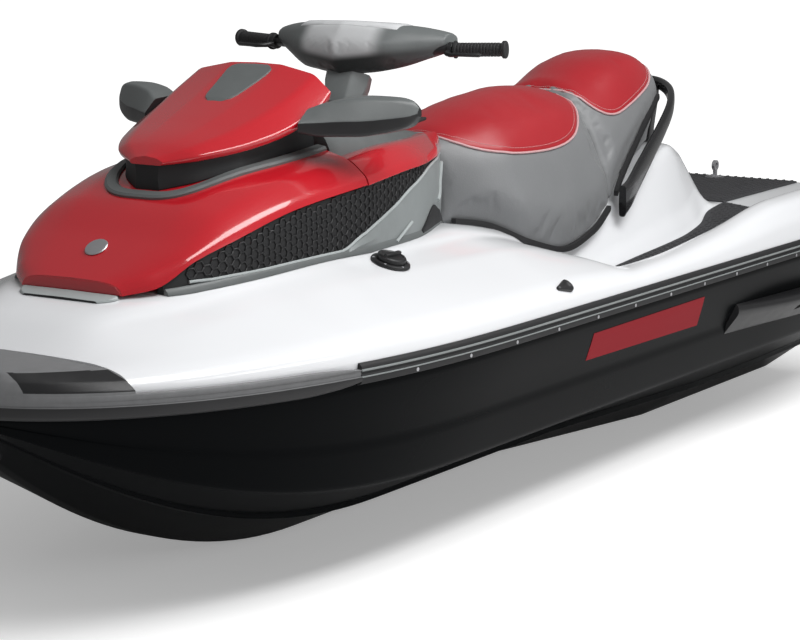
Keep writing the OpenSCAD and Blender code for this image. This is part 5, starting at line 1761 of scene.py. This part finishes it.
class WATERCRAFT_OT_grab_handle(bpy.types.Operator):
    """Moulded grab handle behind the passenger seat, on two posts"""

    bl_idname = "watercraft.grab_handle"
    bl_label = "Grab handle"

    def execute(self, context):
        ends = [Vector((x, y, RAIL + z)) for x, y, z in GRAB]
        ends += [Vector((x, -y, RAIL + z)) for x, y, z in reversed(GRAB[:-1])]
        n = len(ends)
        route = []
        for i in range(n - 1):
            p0, p1, p2, p3 = (ends[clamp(k, 0, n - 1)] for k in (i - 1, i, i + 1, i + 2))
            for k in range(8):
                t = k / 8
                route.append((i + t, 0.5 * (2 * p1 + (p2 - p0) * t + (2 * p0 - 5 * p1 + 4 * p2 - p3) * t * t
                                            + (3 * p1 - p0 - 3 * p2 + p3) * t**3)))
        route.append((n - 1, ends[-1]))
        rings = []
        for i, (s, p) in enumerate(route):
            a, b = route[max(i - 1, 0)][1], route[min(i + 1, len(route) - 1)][1]
            d = (b - a)
            d.z = 0
            side = Vector((0, 0, 1)).cross(d.normalized())
            f = abs(s - (n - 1) / 2) / ((n - 1) / 2)
            hh = mix(15, 42, f**1.4)
            ring = rounded([(-9, -hh), (9, -hh), (11, 0), (9, hh), (-9, hh), (-11, 0)], [7, 7, 20, 8, 8, 20], 3,
                           closed=True)
            rings.append([metres(*(p + q[0] * side + Vector((0, 0, q[1])))) for q in ring])
        rail = new_object("handle_rail", grid_mesh("handle_rail", rings))
        posts = []
        for s in (1, -1):
            z0 = deck_z(-2868, 40) + 0.3
            lows = [(-2900, 40), (-2868, 40), (-2868, 74), (-2900, 74)]
            highs = [(-2908, 70), (-2888, 70), (-2888, 86), (-2908, 86)]
            levels = []
            for t in span(0, 1, 10):
                q = t * t * (3 - 2 * t)
                ring = [(mix(a[0], b[0], q), mix(a[1], b[1], q)) for a, b in zip(lows, highs)]
                levels.append([metres(x, s * y, mix(z0, RAIL + 402, t))
                               for x, y in rounded(ring, [5, 5, 5, 5], 3, closed=True)])
            posts.append(new_object("handle_post", grid_mesh("handle_post", levels)))
        handle = joined("passenger_handle", [rail] + posts)
        settle(handle, "craft", finish_of("gloss black"), ("grab_handle",), 40)
        return {"FINISHED"}


class WATERCRAFT_OT_fittings(bpy.types.Operator):
    """Fuel cap, cleats, eyes, tow hook, boarding step and flush port"""

    bl_idname = "watercraft.fittings"
    bl_label = "Fittings"

    def execute(self, context):
        x, y = -1060, 360
        z = deck_z(x, y) + 1.4
        tilt = math.atan((deck_z(x, y + 30) - deck_z(x, y - 30)) / 60)
        axis = (0, -math.sin(tilt), math.cos(tilt))
        centre = metres(x, y, z)
        ring = lathe("cap_ring", [(0.0, 0.0455), (0.002, 0.046), (0.0062, 0.0445), (0.008, 0.041), (0.0078, 0.036),
                                  (0.0064, 0.0352), (0.0064, 0.0336), (0.017, 0.0332), (0.0195, 0.031),
                                  (0.0200, 0.027), (0.0184, 0.025), (0.0182, 0.004)], centre, axis, 64)
        latch = block("cap_latch", (x - 30, y - 5, z + 8), (x + 30, y + 5, z + 26))
        pivot = Matrix.Translation(centre)
        latch.data.transform(pivot @ Matrix.Rotation(tilt, 4, "X") @ pivot.inverted())
        bevelled(latch, 0.0025, 3)
        points = []
        side, ahead = Vector((0, math.cos(tilt), math.sin(tilt))), Vector((1, 0, 0))
        for k in range(6):
            a = math.radians(60 * k + 15)
            place = Vector(centre) + 0.0405 * (math.cos(a) * ahead + math.sin(a) * side) + Vector(axis) * 0.0078
            points.append((tuple(place), turn_to(axis), 1.0))
        cap = joined("filler_cap", [ring, latch])
        settle(cap, "craft", finish_of("black trim"), ("fuel_cap",), 30)
        screws = scattered("cap_screws", points, finish_of("steel"), screw_copy, Radius=0.0028, Height=0.0014)
        settle(screws, "craft", None, angle=0)

        x = -1480
        y = rail_y(x) - 34
        z = deck_z(x, y) + 0.9
        tilt = math.atan((deck_z(x, y + 8) - deck_z(x, y - 8)) / 16)
        outline = [(17 * math.cos(a), 17 * math.sin(a)) for a in span(math.radians(80), math.radians(280), 20)]
        outline += [(40 + 5.5 * math.cos(a), 5.5 * math.sin(a))
                    for a in span(math.radians(-80), math.radians(80), 8)]
        levels = [(0, 1.0), (4.5, 1.0), (6.6, 0.96), (7.8, 0.84), (8.0, 0.6), (6.6, 0.5), (6.4, 0.1)]
        rings = [[(8 + (a - 8) * s, b * s, h) for a, b in outline] for h, s in levels]
        turn = Matrix.Rotation(tilt, 4, "X")
        cleats = new_object("mooring_cleats", grid_mesh("mooring_cleats", [
            [tuple(Vector(metres(x, y, z)) + turn @ (Vector(p) / 1000)) for p in r] for r in rings]))
        mirror_copy(cleats)
        settle(cleats, "craft", finish_of("black trim"), ("cleats",), 40)

        x = -FOREFOOT + FOREFOOT * math.sqrt(345 / 456) + 34
        eye = lathe("eye_ring", [(-0.003, 0.009), (-0.005, 0.0105), (-0.0054, 0.013), (-0.005, 0.0155),
                                 (-0.003, 0.017), (0.003, 0.017), (0.005, 0.0155), (0.0054, 0.013),
                                 (0.005, 0.0105), (0.003, 0.009), (-0.003, 0.009)],
                    metres(x, 0, 345), (0, 1, 0), 48)
        bm = bmesh.new()
        bm.from_mesh(eye.data)
        bmesh.ops.delete(bm, geom=[f for f in bm.faces if len(f.verts) > 4], context="FACES_ONLY")
        bmesh.ops.remove_doubles(bm, verts=bm.verts, dist=1e-7)
        bmesh.ops.recalc_face_normals(bm, faces=bm.faces)
        bm.to_mesh(eye.data)
        bm.free()
        shank = lathe("eye_shank", [(0, 0.0056), (0.078, 0.0058), (0.0825, 0.0058)],
                      metres(x - 98, 0, 345), (1, 0, 0), 24)
        plate = lathe("eye_plate", [(0.0, 0.021), (0.0012, 0.022), (0.0026, 0.020), (0.003, 0.008)],
                      metres(x - 28.5, 0, 345), (1, 0, 0), 40)
        ring = joined("bow_ring", [eye, shank, plate])
        settle(ring, "craft", finish_of("steel"), ("bow_eye",), 40)
        dress("steel", "stern_eyes", "tow_hook")
        dress("black trim", "flush_port")
        dress("black trim", "boarding_step")
        return {"FINISHED"}


class WATERCRAFT_OT_drive(bpy.types.Operator):
    """Finishes of the jet drive and the engine"""

    bl_idname = "watercraft.drive"
    bl_label = "Jet drive and engine"

    def execute(self, context):
        dress("cast alloy", "pump_housing", "steering_nozzle", "intake_grate", "ride_plate")
        dress("steel", "impeller")
        dress("black trim", "reverse_bucket")
        dress("painted iron", "engine")
        return {"FINISHED"}


# ------------------------------------------------------------------ stage
class WATERCRAFT_OT_stage(bpy.types.Operator):
    """Pale floor, soft studio light and the camera"""

    bl_idname = "watercraft.stage"
    bl_label = "Stage"

    def execute(self, context):
        scene = context.scene
        scene.view_settings.view_transform = "Standard"
        half = 40.0
        mesh = bpy.data.meshes.new("studio_floor")
        mesh.from_pydata([(-half, -half, -0.0005), (half, -half, -0.0005), (half, half, -0.0005),
                          (-half, half, -0.0005)], [], [(0, 1, 2, 3)])
        floor = new_object("studio_floor", mesh)
        m = bpy.data.materials.new("studio floor")
        m.use_nodes = True
        tree = m.node_tree
        tree.nodes.clear()
        paint = tree.nodes.new("ShaderNodeBsdfDiffuse")
        paint.inputs["Color"].default_value = (0.9, 0.9, 0.9, 1)
        glow = tree.nodes.new("ShaderNodeEmission")
        path = tree.nodes.new("ShaderNodeLightPath")
        seen = tree.nodes.new("ShaderNodeMath")
        seen.operation = "MULTIPLY"
        place = tree.nodes.new("ShaderNodeTexCoord")
        away = tree.nodes.new("ShaderNodeVectorMath")
        away.operation = "LENGTH"
        tree.links.new(place.outputs["Object"], away.inputs[0])
        fade = tree.nodes.new("ShaderNodeMapRange")
        fade.interpolation_type = "SMOOTHSTEP"
        for label, value in (("From Min", 0.9), ("From Max", 5.0), ("To Min", 0.3), ("To Max", 0.95)):
            fade.inputs[label].default_value = value
        tree.links.new(away.outputs["Value"], fade.inputs["Value"])
        tree.links.new(fade.outputs[0], seen.inputs[1])
        tree.links.new(path.outputs["Is Camera Ray"], seen.inputs[0])
        tree.links.new(seen.outputs[0], glow.inputs["Strength"])
        both = tree.nodes.new("ShaderNodeAddShader")
        out = tree.nodes.new("ShaderNodeOutputMaterial")
        tree.links.new(paint.outputs[0], both.inputs[0])
        tree.links.new(glow.outputs[0], both.inputs[1])
        tree.links.new(both.outputs[0], out.inputs["Surface"])
        mesh.materials.append(m)

        world = bpy.data.worlds.new("studio")
        scene.world = world
        world.use_nodes = True
        tree = world.node_tree
        tree.nodes.clear()
        back = tree.nodes.new("ShaderNodeBackground")
        back.inputs["Color"].default_value = (1, 1, 1, 1)
        path = tree.nodes.new("ShaderNodeLightPath")
        level = tree.nodes.new("ShaderNodeMapRange")
        level.inputs["To Min"].default_value = 0.2
        level.inputs["To Max"].default_value = 1.0
        tree.links.new(path.outputs["Is Camera Ray"], level.inputs["Value"])
        tree.links.new(level.outputs[0], back.inputs["Strength"])
        out = tree.nodes.new("ShaderNodeOutputWorld")
        tree.links.new(back.outputs[0], out.inputs["Surface"])

        for name, place, target, size, power in LAMPS:
            light = bpy.data.lights.new(name, "AREA")
            light.shape, light.size, light.size_y, light.energy = "RECTANGLE", size[0], size[1], power
            obj = bpy.data.objects.new(name, light)
            scene.collection.objects.link(obj)
            obj.location = place
            obj.rotation_euler = (Vector(target) - Vector(place)).to_track_quat("-Z", "Y").to_euler()

        cam = bpy.data.cameras.new("studio_camera")
        cam.lens, cam.sensor_width, cam.sensor_fit = CAMERA_LENS, 36.0, "HORIZONTAL"
        cam.clip_end = 200
        eye = bpy.data.objects.new("studio_camera", cam)
        scene.collection.objects.link(eye)
        a, e = (math.radians(d) for d in CAMERA_HEADING)
        look = Vector((math.cos(a) * math.cos(e), math.sin(a) * math.cos(e), -math.sin(e)))
        turn = look.to_track_quat("-Z", "Y").to_matrix() @ Matrix.Rotation(math.radians(CAMERA_ROLL), 3, "Z")
        eye.matrix_world = Matrix.Translation(CAMERA_PLACE) @ turn.to_4x4()
        scene.camera = eye
        return {"FINISHED"}


# ------------------------------------------------------------------ add-on
PIECES = (
    WATERCRAFT_OT_stage, WATERCRAFT_OT_hull, WATERCRAFT_OT_stripe, WATERCRAFT_OT_deck, WATERCRAFT_OT_mats,
    WATERCRAFT_OT_bumper, WATERCRAFT_OT_rails, WATERCRAFT_OT_sponsons, WATERCRAFT_OT_hood, WATERCRAFT_OT_visor,
    WATERCRAFT_OT_mirrors, WATERCRAFT_OT_vents, WATERCRAFT_OT_fairings, WATERCRAFT_OT_console,
    WATERCRAFT_OT_lids, WATERCRAFT_OT_steering, WATERCRAFT_OT_handlebar_pad, WATERCRAFT_OT_driver_seat,
    WATERCRAFT_OT_passenger_seat, WATERCRAFT_OT_grab_handle, WATERCRAFT_OT_fittings, WATERCRAFT_OT_drive)


class WATERCRAFT_PT_pieces(bpy.types.Panel):
    """Lists the pieces and the sizes and colours they are built with"""

    bl_idname = "WATERCRAFT_PT_pieces"
    bl_label = "Watercraft"
    bl_space_type = "VIEW_3D"
    bl_region_type = "UI"
    bl_category = "Watercraft"

    def draw(self, context):
        for piece in PIECES:
            self.layout.operator(piece.bl_idname)
        for group in (sizes(), colours()):
            box = self.layout.box()
            for prop in group.bl_rna.properties:
                if prop.identifier not in ("rna_type", "name"):
                    box.prop(group, prop.identifier)


CLASSES = (WatercraftColours, WatercraftSizes) + PIECES + (WATERCRAFT_PT_pieces,)


def register():
    for c in CLASSES:
        bpy.utils.register_class(c)
    bpy.types.Scene.watercraft_colours = bpy.props.PointerProperty(type=WatercraftColours)
    bpy.types.Scene.watercraft_sizes = bpy.props.PointerProperty(type=WatercraftSizes)


def unregister():
    del bpy.types.Scene.watercraft_sizes
    del bpy.types.Scene.watercraft_colours
    for c in reversed(CLASSES):
        bpy.utils.unregister_class(c)


def main():
    register()
    for piece in PIECES:
        group, name = piece.bl_idname.split(".")
        getattr(getattr(bpy.ops, group), name)()


if __name__ == "__main__":
    main()
